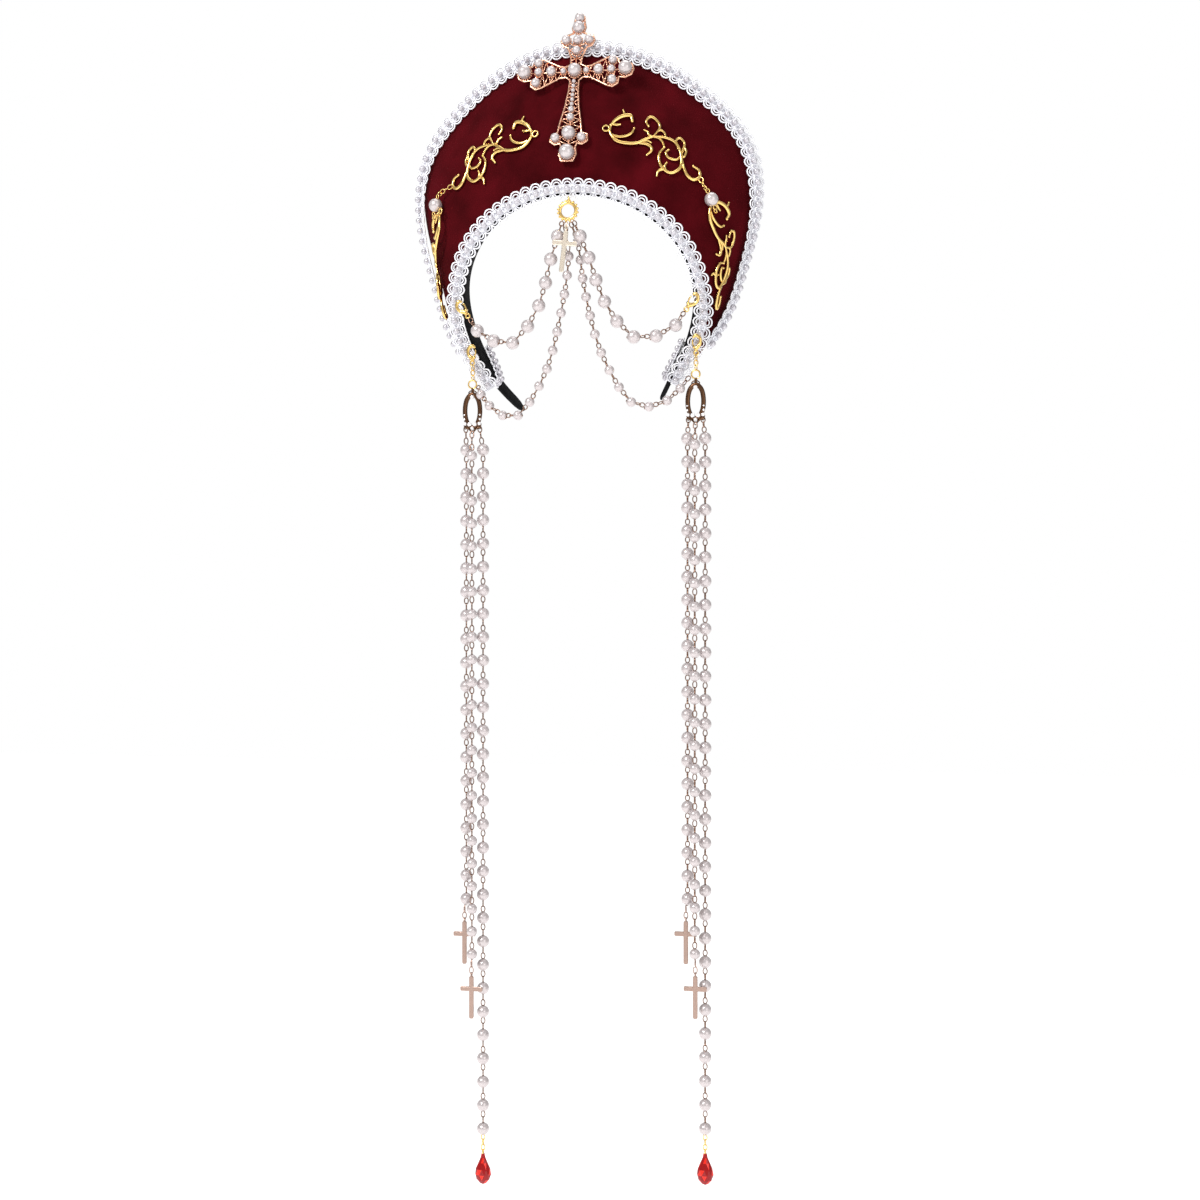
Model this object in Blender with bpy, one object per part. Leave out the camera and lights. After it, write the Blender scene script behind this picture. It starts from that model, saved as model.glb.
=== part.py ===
import math
import bpy
import bmesh
from mathutils import Vector
from mathutils.geometry import delaunay_2d_cdt

# Costume coronet. All sizes are in millimetres until MM turns them into metres.
# +X is the viewer's right, +Y is back and +Z is up.
# The origin is the inner face of the headband at its top, at the front edge.
MM = 0.001

for old in list(bpy.data.objects):
    bpy.data.objects.remove(old, do_unlink=True)

coronet = bpy.data.collections.new("coronet")
cutters = bpy.data.collections.new("cutters")
bpy.context.scene.collection.children.link(coronet)
bpy.context.scene.collection.children.link(cutters)


def material(name, colour, metallic, roughness):
    mat = bpy.data.materials.new(name)
    mat.use_nodes = True
    shader = mat.node_tree.nodes["Principled BSDF"]
    shader.inputs["Base Color"].default_value = (*colour, 1.0)
    shader.inputs["Metallic"].default_value = metallic
    shader.inputs["Roughness"].default_value = roughness
    return mat


VELVET = material("velvet", (0.08, 0.006, 0.012), 0.0, 0.85)
CLOTH = material("black_cloth", (0.008, 0.008, 0.009), 0.0, 0.8)
BRAID = material("white_braid", (0.82, 0.84, 0.88), 0.0, 0.6)
ROSE = material("rose_gold", (0.85, 0.52, 0.36), 1.0, 0.3)
GOLD = material("gold", (0.83, 0.62, 0.25), 1.0, 0.25)
BRONZE = material("antique_bronze", (0.2, 0.12, 0.07), 1.0, 0.4)
PEARL = material("pearl", (0.85, 0.8, 0.8), 0.0, 0.2)
RUBY = material("ruby_glass", (0.55, 0.01, 0.01), 0.0, 0.05)


def mix(a, b, t):
    return a + (b - a) * t


def past(angle, start):
    """how many degrees an angle is beyond a start"""
    return max(0.0, angle - start)


def smooth_path(points, per):
    """a smooth curve through a few points, with per steps between two of them"""
    last = len(points) - 1

    def slope(j):
        lo, hi = max(j - 1, 0), min(j + 1, last)
        return (points[hi] - points[lo]) / (hi - lo)

    path = []
    for step in range(last * per + 1):
        i = min(step // per, last - 1)
        t = step / per - i
        stay, go = 2 * t ** 3 - 3 * t ** 2 + 1, 3 * t ** 2 - 2 * t ** 3
        leave, arrive = t ** 3 - 2 * t ** 2 + t, t ** 3 - t ** 2
        path.append(points[i] * stay + slope(i) * leave + points[i + 1] * go + slope(i + 1) * arrive)
    return path


def mirrored(p):
    return Vector((-p.x, p.y, p.z))


# The hoop that the head fills: a circle pressed lower, leaning back, with ends that curl back.
# Angles run from its top (0) to a lower end (142).
HOOP_HALF = 72.0
HOOP_SQUASH = 0.808
HOOP_LEAN = 0.36
HOOP_STRAIGHTEN = 0.0006
HOOP_TAIL_START, HOOP_TAIL = 85.0, 0.0053
HOOP_CURL_START, HOOP_CURL = 125.0, 0.05
HOOP_BACK = Vector((0, 0.912, 0.41))
BAND_WIDTH = 15.0
BAND_TAPER_START, BAND_TAPER = 100.0, 0.0034


def hoop_edge(angle):
    """the hoop's inner face along its front edge"""
    drop = HOOP_HALF * (1 - math.cos(math.radians(angle)))
    back = drop * (HOOP_LEAN - HOOP_STRAIGHTEN * drop) + HOOP_CURL * past(angle, HOOP_CURL_START) ** 2
    down = drop * HOOP_SQUASH + HOOP_TAIL * past(angle, HOOP_TAIL_START) ** 2
    return Vector((HOOP_HALF * math.sin(math.radians(angle)), back, -down))


def hoop_frame(angle):
    """point, along, back and out directions at an angle of 0 or more"""
    along = (hoop_edge(angle + 0.5) - hoop_edge(angle - 0.5)).normalized()
    back = (HOOP_BACK - along * HOOP_BACK.dot(along)).normalized()
    return hoop_edge(angle), along, back, along.cross(back)


def hoop(angle, out=0.0, back=0.0):
    p, along, b, o = hoop_frame(abs(angle))
    q = p + o * out + b * back
    return q if angle >= 0 else mirrored(q)


# The row of pearls at the velvet's outer edge: round as seen from the front, a little wider at
# its shoulders and narrower below them, and swept back toward its sides.
CROWN_MIDDLE = -8.0
CROWN_RADIUS = 107.5
CROWN_FAN, CROWN_FAN_SLOWS = 1.56, 0.003
SHOULDER_AT, SHOULDER_WIDTH, SHOULDER = 64.0, 17.0, 5.0
WAIST_AT, WAIST_WIDTH, WAIST = 106.0, 20.0, 6.5
FOOT_AT, FOOT = 122.0, 0.010
CROWN_BACK = 29.5
CROWN_SWEEP, CROWN_SWEEP_END = 26.0, 152.0
CROWN_BULGE, BULGE_FADES, BULGE_FADE = 4.0, 60.0, 0.0625
PANEL_END = 116
PANEL_THICK = 2.0


def crown_edge(angle):
    fan = CROWN_FAN * angle - CROWN_FAN_SLOWS * angle * abs(angle)
    shoulder = SHOULDER * math.exp(-((abs(fan) - SHOULDER_AT) / SHOULDER_WIDTH) ** 2)
    waist = WAIST * math.exp(-((abs(fan) - WAIST_AT) / WAIST_WIDTH) ** 2)
    radius = CROWN_RADIUS + shoulder - waist + FOOT * past(abs(fan), FOOT_AT) ** 2
    sweep = CROWN_SWEEP * math.sin(math.pi * abs(angle) / CROWN_SWEEP_END) ** 1.6
    turn = math.radians(fan)
    return Vector((radius * math.sin(turn), CROWN_BACK + sweep, CROWN_MIDDLE + radius * math.cos(turn)))


def panel(angle, across, lift=0.0):
    """the velvet's front face: across is 0 at the hoop and 1 at the outer pearls"""
    a = abs(angle)

    def ends(at):
        foot = hoop_frame(at)
        return foot[0] + foot[3] * 4.9 + foot[2] * 2.6, crown_edge(at)

    low, high = ends(a)
    low_after, high_after = ends(a + 0.5)
    low_before, high_before = ends(a - 0.5)
    edge = (low_after - low_before).normalized() + (high_after - high_before).normalized()
    face = edge.cross(high - low).normalized()
    if face.y > 0:
        face = -face
    bulge = CROWN_BULGE - BULGE_FADE * past(a, BULGE_FADES)
    p = mix(low, high, across) + face * (4 * across * (1 - across) * bulge + lift)
    return p if angle >= 0 else mirrored(p)


def on_panel(angle, across, x, y, lift, turn=0.0):
    """lays a flat drawing on the velvet: x runs down the right side, y toward the outer edge"""
    c, s = math.cos(turn), math.sin(turn)
    u, v = c * x - s * y, s * x + c * y
    step = (panel(angle, across + 0.01) - panel(angle, across)).length * 100
    row = across + v / step
    turn_len = (panel(angle + 1, row) - panel(angle, row)).length
    return panel(angle + u / turn_len, row, lift)


def add_object(name, bm, mat, cutter=False):
    bmesh.ops.recalc_face_normals(bm, faces=bm.faces)
    mesh = bpy.data.meshes.new(name)
    bm.to_mesh(mesh)
    bm.free()
    ob = bpy.data.objects.new(name, mesh)
    if mat is not None:
        mesh.materials.append(mat)
    if cutter:
        ob.hide_render = True
        ob.display_type = "WIRE"
        cutters.objects.link(ob)
    else:
        coronet.objects.link(ob)
    return ob


def loft_into(bm, rings, ends=True, loop=False):
    """joins rings of points into one closed skin"""
    rows = [[bm.verts.new(p * MM) for p in ring] for ring in rings]
    n = len(rows[0])
    pairs = list(zip(rows, rows[1:]))
    if loop:
        pairs.append((rows[-1], rows[0]))
    for a, b in pairs:
        for i in range(n):
            j = (i + 1) % n
            bm.faces.new((a[i], a[j], b[j], b[i]))
    if ends and not loop:
        bm.faces.new(list(reversed(rows[0])))
        bm.faces.new(rows[-1])


def loft(name, rings, mat, loop=False, cutter=False):
    bm = bmesh.new()
    loft_into(bm, rings, loop=loop)
    return add_object(name, bm, mat, cutter)


def frames(points, start=None):
    """directions across a path, carried along without twist"""
    n = len(points)
    tang = []
    for i in range(n):
        d = points[min(i + 1, n - 1)] - points[max(i - 1, 0)]
        tang.append(d.normalized())
    side = start if start is not None else Vector((0, -1, 0))
    result = []
    for t in tang:
        side = side - t * side.dot(t)
        if side.length < 1e-6:
            side = t.orthogonal()
        side.normalize()
        result.append((t, side, t.cross(side)))
    return result


def tube_rings(points, radii, sides, start=None, flat=1.0, turn=0.0):
    rings = []
    for p, r, (t, a, b) in zip(points, radii, frames(points, start)):
        ring = []
        for i in range(sides):
            w = 2 * math.pi * (i + turn) / sides
            ring.append(p + a * (math.cos(w) * r * flat) + b * (math.sin(w) * r))
        rings.append(ring)
    return rings


def ball_into(bm, centre, radius, sides=10, steps=6, axis=None, flat=1.0):
    axis = (axis or Vector((0, 0, 1))).normalized()
    a = axis.orthogonal().normalized()
    b = axis.cross(a)
    rows = []
    for k in range(1, steps):
        w = math.pi * k / steps
        ring = []
        for i in range(sides):
            u = 2 * math.pi * i / sides
            d = (a * math.cos(u) + b * math.sin(u)) * math.sin(w) * radius
            ring.append(bm.verts.new((centre + d - axis * math.cos(w) * radius * flat) * MM))
        rows.append(ring)
    low = bm.verts.new((centre - axis * radius * flat) * MM)
    high = bm.verts.new((centre + axis * radius * flat) * MM)
    for r, s in zip(rows, rows[1:]):
        for i in range(sides):
            j = (i + 1) % sides
            bm.faces.new((r[i], r[j], s[j], s[i]))
    for i in range(sides):
        j = (i + 1) % sides
        bm.faces.new((rows[0][j], rows[0][i], low))
        bm.faces.new((rows[-1][i], rows[-1][j], high))


def inside(x, y, one):
    hit = False
    for (x0, y0), (x1, y1) in zip(one, one[1:] + one[:1]):
        if (y0 > y) != (y1 > y) and x < x0 + (y - y0) / (y1 - y0) * (x1 - x0):
            hit = not hit
    return hit


def plate_into(bm, loops, low, high, place):
    """a flat plate with holes: loops are lists of (x, y), place puts (x, y, height) in space"""
    points = [p for one in loops for p in one]
    edges = []
    at = 0
    for one in loops:
        edges += [(at + i, at + (i + 1) % len(one)) for i in range(len(one))]
        at += len(one)
    flat = delaunay_2d_cdt([Vector(p) for p in points], edges, [], 0, 1e-5)
    tris = []
    for tri in flat[2]:
        x = sum(points[i][0] for i in tri) / 3
        y = sum(points[i][1] for i in tri) / 3
        if sum(inside(x, y, one) for one in loops) == 1:
            tris.append(tri)
    top = [bm.verts.new(place(x, y, high) * MM) for x, y in points]
    base = [bm.verts.new(place(x, y, low) * MM) for x, y in points]
    for a, b, c in tris:
        bm.faces.new((top[a], top[b], top[c]))
        bm.faces.new((base[c], base[b], base[a]))
    for i, j in edges:
        bm.faces.new((top[i], top[j], base[j], base[i]))


def combine(ob, other, operation="UNION"):
    mod = ob.modifiers.new(operation.lower() + "_" + other.name, "BOOLEAN")
    mod.operation = operation
    mod.solver = "EXACT"
    mod.object = other


def ring_rings(centre, axis, up, radius, wire, sides=6, steps=12, tall=1.0):
    """rings of a round link; tall stretches it along up"""
    side = axis.cross(up)
    rings = []
    for k in range(steps):
        w = 2 * math.pi * k / steps
        spoke = up * math.cos(w) + side * math.sin(w)
        path = centre + up * (math.cos(w) * radius * tall) + side * (math.sin(w) * radius)
        rings.append([path + spoke * (math.cos(v) * wire) + axis * (math.sin(v) * wire)
                      for v in [2 * math.pi * i / sides for i in range(sides)]])
    return rings


# Headband: a flat padded strip, rounded at its lower ends
def band_ring(angle):
    p, along, back, out = hoop_frame(abs(angle))
    width = BAND_WIDTH - BAND_TAPER * past(abs(angle), BAND_TAPER_START) ** 2
    start = 2.6 + past(abs(angle), HOOP_CURL_START) * 0.12
    corner = [(0.9, 0), (2.1, 0), (3.0, 0.9), (3.0, -0.9), (2.1, 0), (0.9, 0), (0.0, -0.9), (0.0, 0.9)]
    ring = []
    for k, (o, inset) in enumerate(corner):
        near = k in (0, 1, 2, 7)
        b = start + (inset if near else width + inset)
        q = p + out * o + back * b
        ring.append(q if angle >= 0 else mirrored(q))
    return ring


BAND_STEPS = 28
BAND_LEFT, BAND_RIGHT = -146.0, 142.5
band = [band_ring(mix(BAND_LEFT, BAND_RIGHT, k / BAND_STEPS)) for k in range(BAND_STEPS + 1)]
loft("headband", band, CLOTH)


# Velvet crescent: one curved wall
def panel_rings():
    rings = []
    steps = 30
    rows = 4
    for k in range(steps + 1):
        angle = -PANEL_END + 2 * PANEL_END * k / steps
        high = 1.0 + 2.0 / max((panel(angle, 1) - panel(angle, 0)).length, 10.0)
        low = 1.2 / max((panel(angle, 1) - panel(angle, 0)).length, 10.0)
        front = [panel(angle, mix(low, high, r / rows), 0) for r in range(rows + 1)]
        rear = [panel(angle, mix(low, high, r / rows), -PANEL_THICK) for r in range(rows, -1, -1)]
        rings.append(front + rear)
    return rings


loft("crown_panel", panel_rings(), VELVET)

# Braids: a lace strip with a raised row where its pearls stand
# columns: distance across the strip, height
BRAID_SECTION = [(-5.4, 0.0), (5.4, 0.0), (5.4, 0.9), (2.3, 1.1), (1.4, 3.2), (-1.4, 3.2), (-2.3, 1.1),
                 (-5.4, 0.9)]


# The outer braid stands more upright than the velvet that it is sewn on, but for its sides
TRIM_LEAN = 0.55
TRIM_TURNS = 50.0
TRIM_INSET = 2.6
TRIM_HALF = 5.4


def outer_braid_frame(angle):
    a = abs(angle)
    span = (panel(a, 1) - panel(a, 0)).length
    p = panel(a, 1.0 - TRIM_INSET / max(span, 12.0), 0.8)
    q = panel(a, 1.0 - (TRIM_INSET + 4.0) / max(span, 12.0), 0.8)
    slope = (p - q).normalized()
    along = (panel(a + 0.5, 1) - panel(a - 0.5, 1)).normalized()
    lean = mix(TRIM_LEAN, 1.0, min(past(a, TRIM_TURNS) / 35, 1.0))
    across = Vector((slope.x, slope.y * lean, slope.z))
    across = (across - along * across.dot(along)).normalized()
    face = across.cross(along)
    if face.y > 0:
        face = -face
    clear = TRIM_HALF * math.sqrt(max(0.0, 1 - slope.dot(across) ** 2))
    return p + face * clear, across, face


# The inner braid stands out from the band at its lower sides, then runs onto the band's edge
BRAID_SPREAD = 2.6


def inner_braid_frame(angle):
    a = abs(angle)
    p, along, back, out = hoop_frame(a)
    fade = min(max((a - 112) / 12, 0.0), 1.0)
    toward = (panel(min(a, PANEL_END), 0.15) - panel(min(a, PANEL_END), 0)).normalized()
    spread_out = BRAID_SPREAD * min(past(a, 80) / 20, 1.0) * (1 - fade)
    lean = toward * (0.5 * (1 - fade)) + out
    lean = (lean - along * lean.dot(along)).normalized()
    face = lean.cross(along)
    if face.y > 0:
        face = -face
    return p + out * (4.6 + spread_out) + back * mix(2.4, 1.7, fade) - back * 0.1, lean, face


def braid_rings(frame, end, steps):
    rings = []
    for k in range(steps + 1):
        angle = -end + 2 * end * k / steps
        p, across, face = frame(angle)
        ring = [p + across * x + face * h for x, h in BRAID_SECTION]
        rings.append(ring if angle >= 0 else [mirrored(q) for q in ring])
    return rings


INNER_END = 131
OUTER_END = 110
loft("outer_trim", braid_rings(outer_braid_frame, OUTER_END, 32), BRAID)
loft("inner_trim", braid_rings(inner_braid_frame, INNER_END, 32), BRAID)

# Cross brooch: a pierced plate with its pearls, standing in front of the velvet's top
BROOCH_AT = Vector((0.8, 17.7, 80.1))
BROOCH_TALL = 1.095
BROOCH_ROLL = 0.022
BROOCH_UP = Vector((0, 0.2873, 0.9578))
BROOCH_FACE = Vector((0, -0.9578, 0.2873))


def on_brooch(x, y, h):
    side, rise = x + y * BROOCH_ROLL, y * BROOCH_TALL - x * BROOCH_ROLL
    return BROOCH_AT + Vector((1, 0, 0)) * side + BROOCH_UP * rise + BROOCH_FACE * h


# right half of the outline from the top to the foot: columns x, y
BROOCH_EDGE = [
    (3.0, 35.0), (3.3, 31.4), (4.2, 28.4), (3.4, 24.8), (9.3, 23.0), (10.6, 19.8), (8.8, 16.6), (5.8, 15.6),
    (3.4, 9.0), (3.2, 4.6), (6.4, 3.0), (10.0, 3.6), (20.2, 8.4), (23.8, 8.7), (26.6, 6.6), (27.2, 4.2),
    (31.4, 4.9), (35.2, 3.2), (36.4, 0.0), (35.2, -3.2), (31.4, -4.9), (27.4, -4.4), (27.2, -8.4),
    (24.0, -10.4), (20.4, -9.4), (10.0, -3.9), (5.2, -3.4), (2.7, -5.6), (2.9, -12.0), (4.2, -22.0),
    (6.6, -33.0), (7.4, -38.6), (11.0, -39.8), (11.6, -44.0), (8.4, -46.0), (5.2, -45.2), (4.4, -47.8),
    (5.4, -52.2), (3.6, -56.2),
]
# right half of the openings: each a short loop of x, y
BROOCH_HOLES = [
    [(1.0, 5.4), (2.4, 8.6), (1.0, 9.2)],
    [(3.5, 12.6), (5.0, 15.6), (3.2, 16.2)],
    [(9.6, 1.5), (11.2, 3.3), (14.4, 4.9), (11.6, 1.9)],
    [(18.4, 2.2), (16.4, 5.2), (19.4, 6.5), (20.0, 2.8)],
    [(9.6, -1.5), (11.6, -1.9), (14.4, -5.2), (11.2, -3.4)],
    [(18.4, -2.2), (19.6, -3.6), (19.8, -7.6), (16.4, -6.2)],
    [(1.9, -22.6), (3.2, -21.8), (3.5, -25.2)],
    [(2.0, -24.8), (3.6, -27.0), (2.9, -29.4)],
    [(4.3, -28.4), (5.1, -30.0), (5.6, -33.6), (3.5, -30.2)],
    [(3.3, -32.2), (5.2, -35.4), (4.9, -36.4)],
]
# columns: x, y, radius
BROOCH_PEARLS = [
    (0, 34.0, 2.8), (0, 27.6, 3.5), (0, 19.6, 2.9), (7.2, 19.8, 2.8), (0, 12.8, 2.7), (0, 0, 4.1),
    (14.8, 0, 3.0), (23.3, 5.6, 2.6), (22.8, 0, 2.4), (23.8, -6.9, 2.8), (31.6, 0, 4.2),
    (0, -30.0, 2.3), (0, -39.8, 4.2), (8.1, -42.4, 2.8), (0, -51.8, 4.7),
]


def brooch():
    edge = BROOCH_EDGE + [(-x, y) for x, y in reversed(BROOCH_EDGE)]
    holes = []
    for one in BROOCH_HOLES:
        holes.append(one)
        holes.append([(-x, y) for x, y in reversed(one)])
    bm = bmesh.new()
    plate_into(bm, [edge] + holes, 0.0, 1.8, on_brooch)
    ob = add_object("cross_brooch", bm, ROSE)
    bm = bmesh.new()
    for x, y, r in BROOCH_PEARLS:
        for side in ([1, -1] if x > 0 else [1]):
            ball_into(bm, on_brooch(x * side, y, 1.9 + 0.3 * r), r, 8 if r > 3 else 7, 4, BROOCH_FACE)
    combine(ob, add_object("brooch_pearls", bm, PEARL, cutter=True))
    return ob


brooch()

# Gold scrolls. The casting is drawn on a grid of 11.8 steps to the millimetre.
# Each stroke: half thickness at its middle, then its points: columns right, down
GRID = 1 / 11.8
SCROLL = {
    "stem": (0.95, [(130, 195), (118, 250), (150, 325), (220, 362), (290, 366), (345, 340), (400, 322)]),
    "crest": (1.15, [(130, 195), (165, 160), (215, 140), (262, 146), (268, 190)]),
    "hook": (0.8, [(122, 265), (165, 298), (215, 303), (255, 285), (275, 250)]),
    "leaf": (0.85, [(285, 366), (360, 385), (382, 425), (345, 463)]),
    "top_curl": (0.8, [(400, 322), (455, 250), (435, 190), (395, 165), (362, 200), (375, 240)]),
    "loop": (0.9, [(395, 322), (480, 325), (560, 355), (600, 440), (590, 540), (510, 592), (440, 545),
                   (432, 460), (475, 402)]),
    "run": (0.95, [(600, 440), (620, 540), (650, 590), (705, 605), (758, 572), (750, 528), (700, 512)]),
    "spiral": (0.75, [(600, 455), (560, 488), (505, 480), (484, 445), (508, 418)]),
    "bow": (0.75, [(580, 400), (570, 345), (602, 320), (634, 352), (622, 400), (604, 450)]),
}
SCROLL_MIDDLE = (408, 405)
SCROLL_SLOPE = math.radians(32)


def scroll_point(right, down):
    u = (right - SCROLL_MIDDLE[0]) * GRID
    w = (SCROLL_MIDDLE[1] - down) * GRID
    c, s = math.cos(SCROLL_SLOPE), math.sin(SCROLL_SLOPE)
    return u * c - w * s, u * s + w * c


# columns: name, side, angle, across, turn, narrow, tip
SCROLL_PLACES = [
    ("filigree_upper_right", 1, 27.4, 0.40, 0.0, 1.0, 0.0),
    ("filigree_upper_left", -1, 27.8, 0.42, 0.08, 1.0, 0.0),
    ("filigree_lower_right", 1, 73.6, 0.42, 0.0, 0.62, 0.0),
    ("filigree_lower_left", -1, 73.5, 0.46, 0.0, 0.72, 0.25),
]


def scroll_mesh(name, key, place, cutter):
    thick, points = SCROLL[key]
    path = [place(*scroll_point(*p)) for p in points]
    n = len(path)
    radii = []
    for i in range(n):
        t = min(i, n - 1 - i) / (n - 1) * 2
        radii.append(thick * (0.68 + 0.32 * min(1.0, 2 * t)))
    start = (place(0, 0, 1.0) - place(0, 0)).normalized()
    return loft(name, tube_rings(path, radii, 4, start, 1.0, 0.5), GOLD, cutter=cutter)


def scroll(name, side, angle, across, turn, narrow, tip):
    def place(x, y, extra=0.0):
        q = on_panel(angle, across, x, y * narrow, 1.4 + extra + max(0.0, 12 - y) * tip, turn)
        return q if side > 0 else mirrored(q)

    keys = list(SCROLL)
    ob = scroll_mesh(name, keys[0], place, False)
    for key in keys[1:]:
        combine(ob, scroll_mesh(name + "_" + key, key, place, True))
    return ob


for row in SCROLL_PLACES:
    scroll(*row)

# Pearls between the scrolls, each with a wire loop at both ends
# columns: name, side, angle, across
LINK_PEARLS = [("filigree_pearl_right", 1, 52.3, 0.40), ("filigree_pearl_left", -1, 52.3, 0.55)]
for name, side, angle, across in LINK_PEARLS:
    centre = on_panel(angle, across, 0, 0, 5.0)
    ahead = on_panel(angle, across, 3, 0, 5.0)
    run = (ahead - centre).normalized()
    face = (on_panel(angle, across, 0, 0, 6.0) - centre).normalized()
    if side < 0:
        centre, run, face = mirrored(centre), mirrored(run), mirrored(face)
    bm = bmesh.new()
    ball_into(bm, centre, 4.0, 10, 6, run)
    pearl = add_object(name, bm, PEARL)
    for end in (1, -1):
        combine(pearl, loft("%s_loop_%s" % (name, "ab"[end > 0]),
                            ring_rings(centre + run * end * 5.3, face, run, 1.4, 0.35, 5, 8), GOLD,
                            loop=True, cutter=True))

# Middle ring with its knobs and bail
RING_AT = Vector((0.9, -3.4, -9.2))
FRONT = Vector((0, -1, 0))
UP = Vector((0, 0, 1))
ring = loft("centre_ring", ring_rings(RING_AT, FRONT, UP, 4.9, 1.0, 5, 24), GOLD, loop=True)
bm = bmesh.new()
for k in range(16):
    w = 2 * math.pi * (k + 0.5) / 16
    ball_into(bm, RING_AT + Vector((math.sin(w), 0, math.cos(w))) * 5.9, 0.85, 5, 3, FRONT)
combine(ring, add_object("ring_knobs", bm, GOLD, cutter=True))
bail = ring_rings(Vector((0.9, -1.5, -2.3)), Vector((1, 0, 0)), UP, 1.5, 0.42, 5, 8, 1.3)
combine(ring, loft("ring_bail", bail, GOLD, loop=True, cutter=True))


# Bead strings: one turned skin with a waist between the pearls
def bead_string(name, points, radius, top, end, sides=10, neck=0.55):
    stations = [top]
    radii = [neck]
    n = len(points)
    for i, p in enumerate(points):
        a = points[max(i - 1, 0)]
        b = points[min(i + 1, n - 1)]
        t = (b - a).normalized()
        for w in (-76, -40, 0, 40, 76):
            stations.append(p + t * (math.sin(math.radians(w)) * radius))
            radii.append(max(math.cos(math.radians(w)) * radius, neck))
    stations.append(end)
    radii.append(neck)
    return loft(name, tube_rings(stations, radii, sides), PEARL)


# Strings stored as plain cords: a bevelled path through their beads
def bead_cord(name, points, radius, top=None, end=None):
    """the ends taper to the thin wires that carry the string"""
    path = [(p, 1.0) for p in points]
    wire = 0.5 / radius
    if top is not None:
        t = (points[0] - points[1]).normalized()
        lead = [(top, wire), (points[0] + t * radius * 1.02, wire), (points[0] + t * radius * 0.7, 1.0)]
        path = lead + path
    if end is not None:
        t = (points[-1] - points[-2]).normalized()
        path += [(points[-1] + t * radius * 0.7, 1.0), (points[-1] + t * radius * 1.02, wire), (end, wire)]
    data = bpy.data.curves.new(name, "CURVE")
    data.dimensions = "3D"
    line = data.splines.new("POLY")
    line.points.add(len(path) - 1)
    for at, (p, size) in zip(line.points, path):
        at.co = (*(p * MM), 1.0)
        at.radius = size
    data.bevel_depth = radius * MM
    data.bevel_resolution = 2
    data.use_fill_caps = True
    data.materials.append(PEARL)
    ob = bpy.data.objects.new(name, data)
    coronet.objects.link(ob)
    return ob


def tall_link(name, x, y, low, high, back=0.0, width=1.3, wire=0.42):
    """one long link between two heights, leaning back at its top, fused with the piece that it carries"""
    centre = Vector((x, y + back / 2, (low + high) / 2))
    run = Vector((0, back, high - low))
    tall = (run.length / 2 - wire) / width
    run.normalize()
    rings = ring_rings(centre, Vector((1, 0, 0)).cross(run), run, width, wire, 4, 6, tall)
    return loft(name, rings, GOLD, loop=True, cutter=True)


def spread(path, count, lead, tail):
    """even places along a path, the first and the last set in from its ends"""
    reach = [0.0]
    for a, b in zip(path, path[1:]):
        reach.append(reach[-1] + (b - a).length)
    places = []
    for k in range(count):
        want = lead + (reach[-1] - lead - tail) * k / (count - 1)
        i = sum(1 for r in reach[1:-1] if r < want)
        places.append(mix(path[i], path[i + 1], (want - reach[i]) / (reach[i + 1] - reach[i])))
    return places


# Drapes: pearl radius, pearls, wire above the first and below the last, then the route by hand
# from the middle ring to the clasp or the oval, columns x, y, z
DRAPES = {
    "drape_large_left": (4.1, 8, 9, 11, [(-2.6, -3.4, -15.6), (-10, -2.5, -38), (-18, 0, -65), (-36, 5.5, -86),
                                         (-57, 12, -79), (-66.4, 16.9, -68)]),
    "drape_large_right": (4.1, 8, 10, 10, [(4.4, -3.4, -15.6), (13, -2.5, -36), (23, 1.5, -65), (40, 6.5, -85),
                                           (60, 12.5, -80), (68.2, 16.9, -68.8)]),
    "drape_small_left": (3.0, 13, 20, 8, [(-0.8, -3.4, -16.3), (0, 3, -36), (-5, 1.5, -72), (-15, 3, -106),
                                          (-35, 10, -130.5), (-55, 16, -121), (-63.2, 24.3, -109)]),
    "drape_small_right": (3.0, 13, 13, 10, [(2.6, -3.4, -16.3), (5.5, 4.5, -27), (10, 2, -56), (20, 3, -94),
                                            (38, 9.5, -124), (58, 16, -122), (70.3, 24.3, -106.8)]),
}


def drape(name, radius, count, lead, tail, route):
    path = smooth_path([Vector(row) for row in route], 8)
    points = spread(path, count, lead, tail)
    make = bead_string if "large" in name else bead_cord
    make(name, points, radius, path[0], path[-1])


for name, row in DRAPES.items():
    drape(name, *row)

# Tassel strands: columns name, x, y, first pearl, pitch, count, radius
TASSEL_LEFT = -65.4
TASSEL_RIGHT = 74.3
HANG_Y = 25.0
STRANDS = [
    ("strand_left_outer", TASSEL_LEFT - 5.4, HANG_Y, -148.8, 14.75, 20, 3.9),
    ("strand_left_middle", TASSEL_LEFT, HANG_Y - 6.2, -152.8, 14.06, 23, 3.3),
    ("strand_left_inner", TASSEL_LEFT + 5.4, HANG_Y, -148.8, 14.59, 30, 3.9),
    ("strand_right_inner", TASSEL_RIGHT - 5.4, HANG_Y, -144.4, 13.98, 21, 3.9),
    ("strand_right_middle", TASSEL_RIGHT, HANG_Y - 6.2, -148.6, 13.97, 23, 3.3),
    ("strand_right_outer", TASSEL_RIGHT + 5.4, HANG_Y, -144.4, 14.43, 30, 3.9),
]
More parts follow.
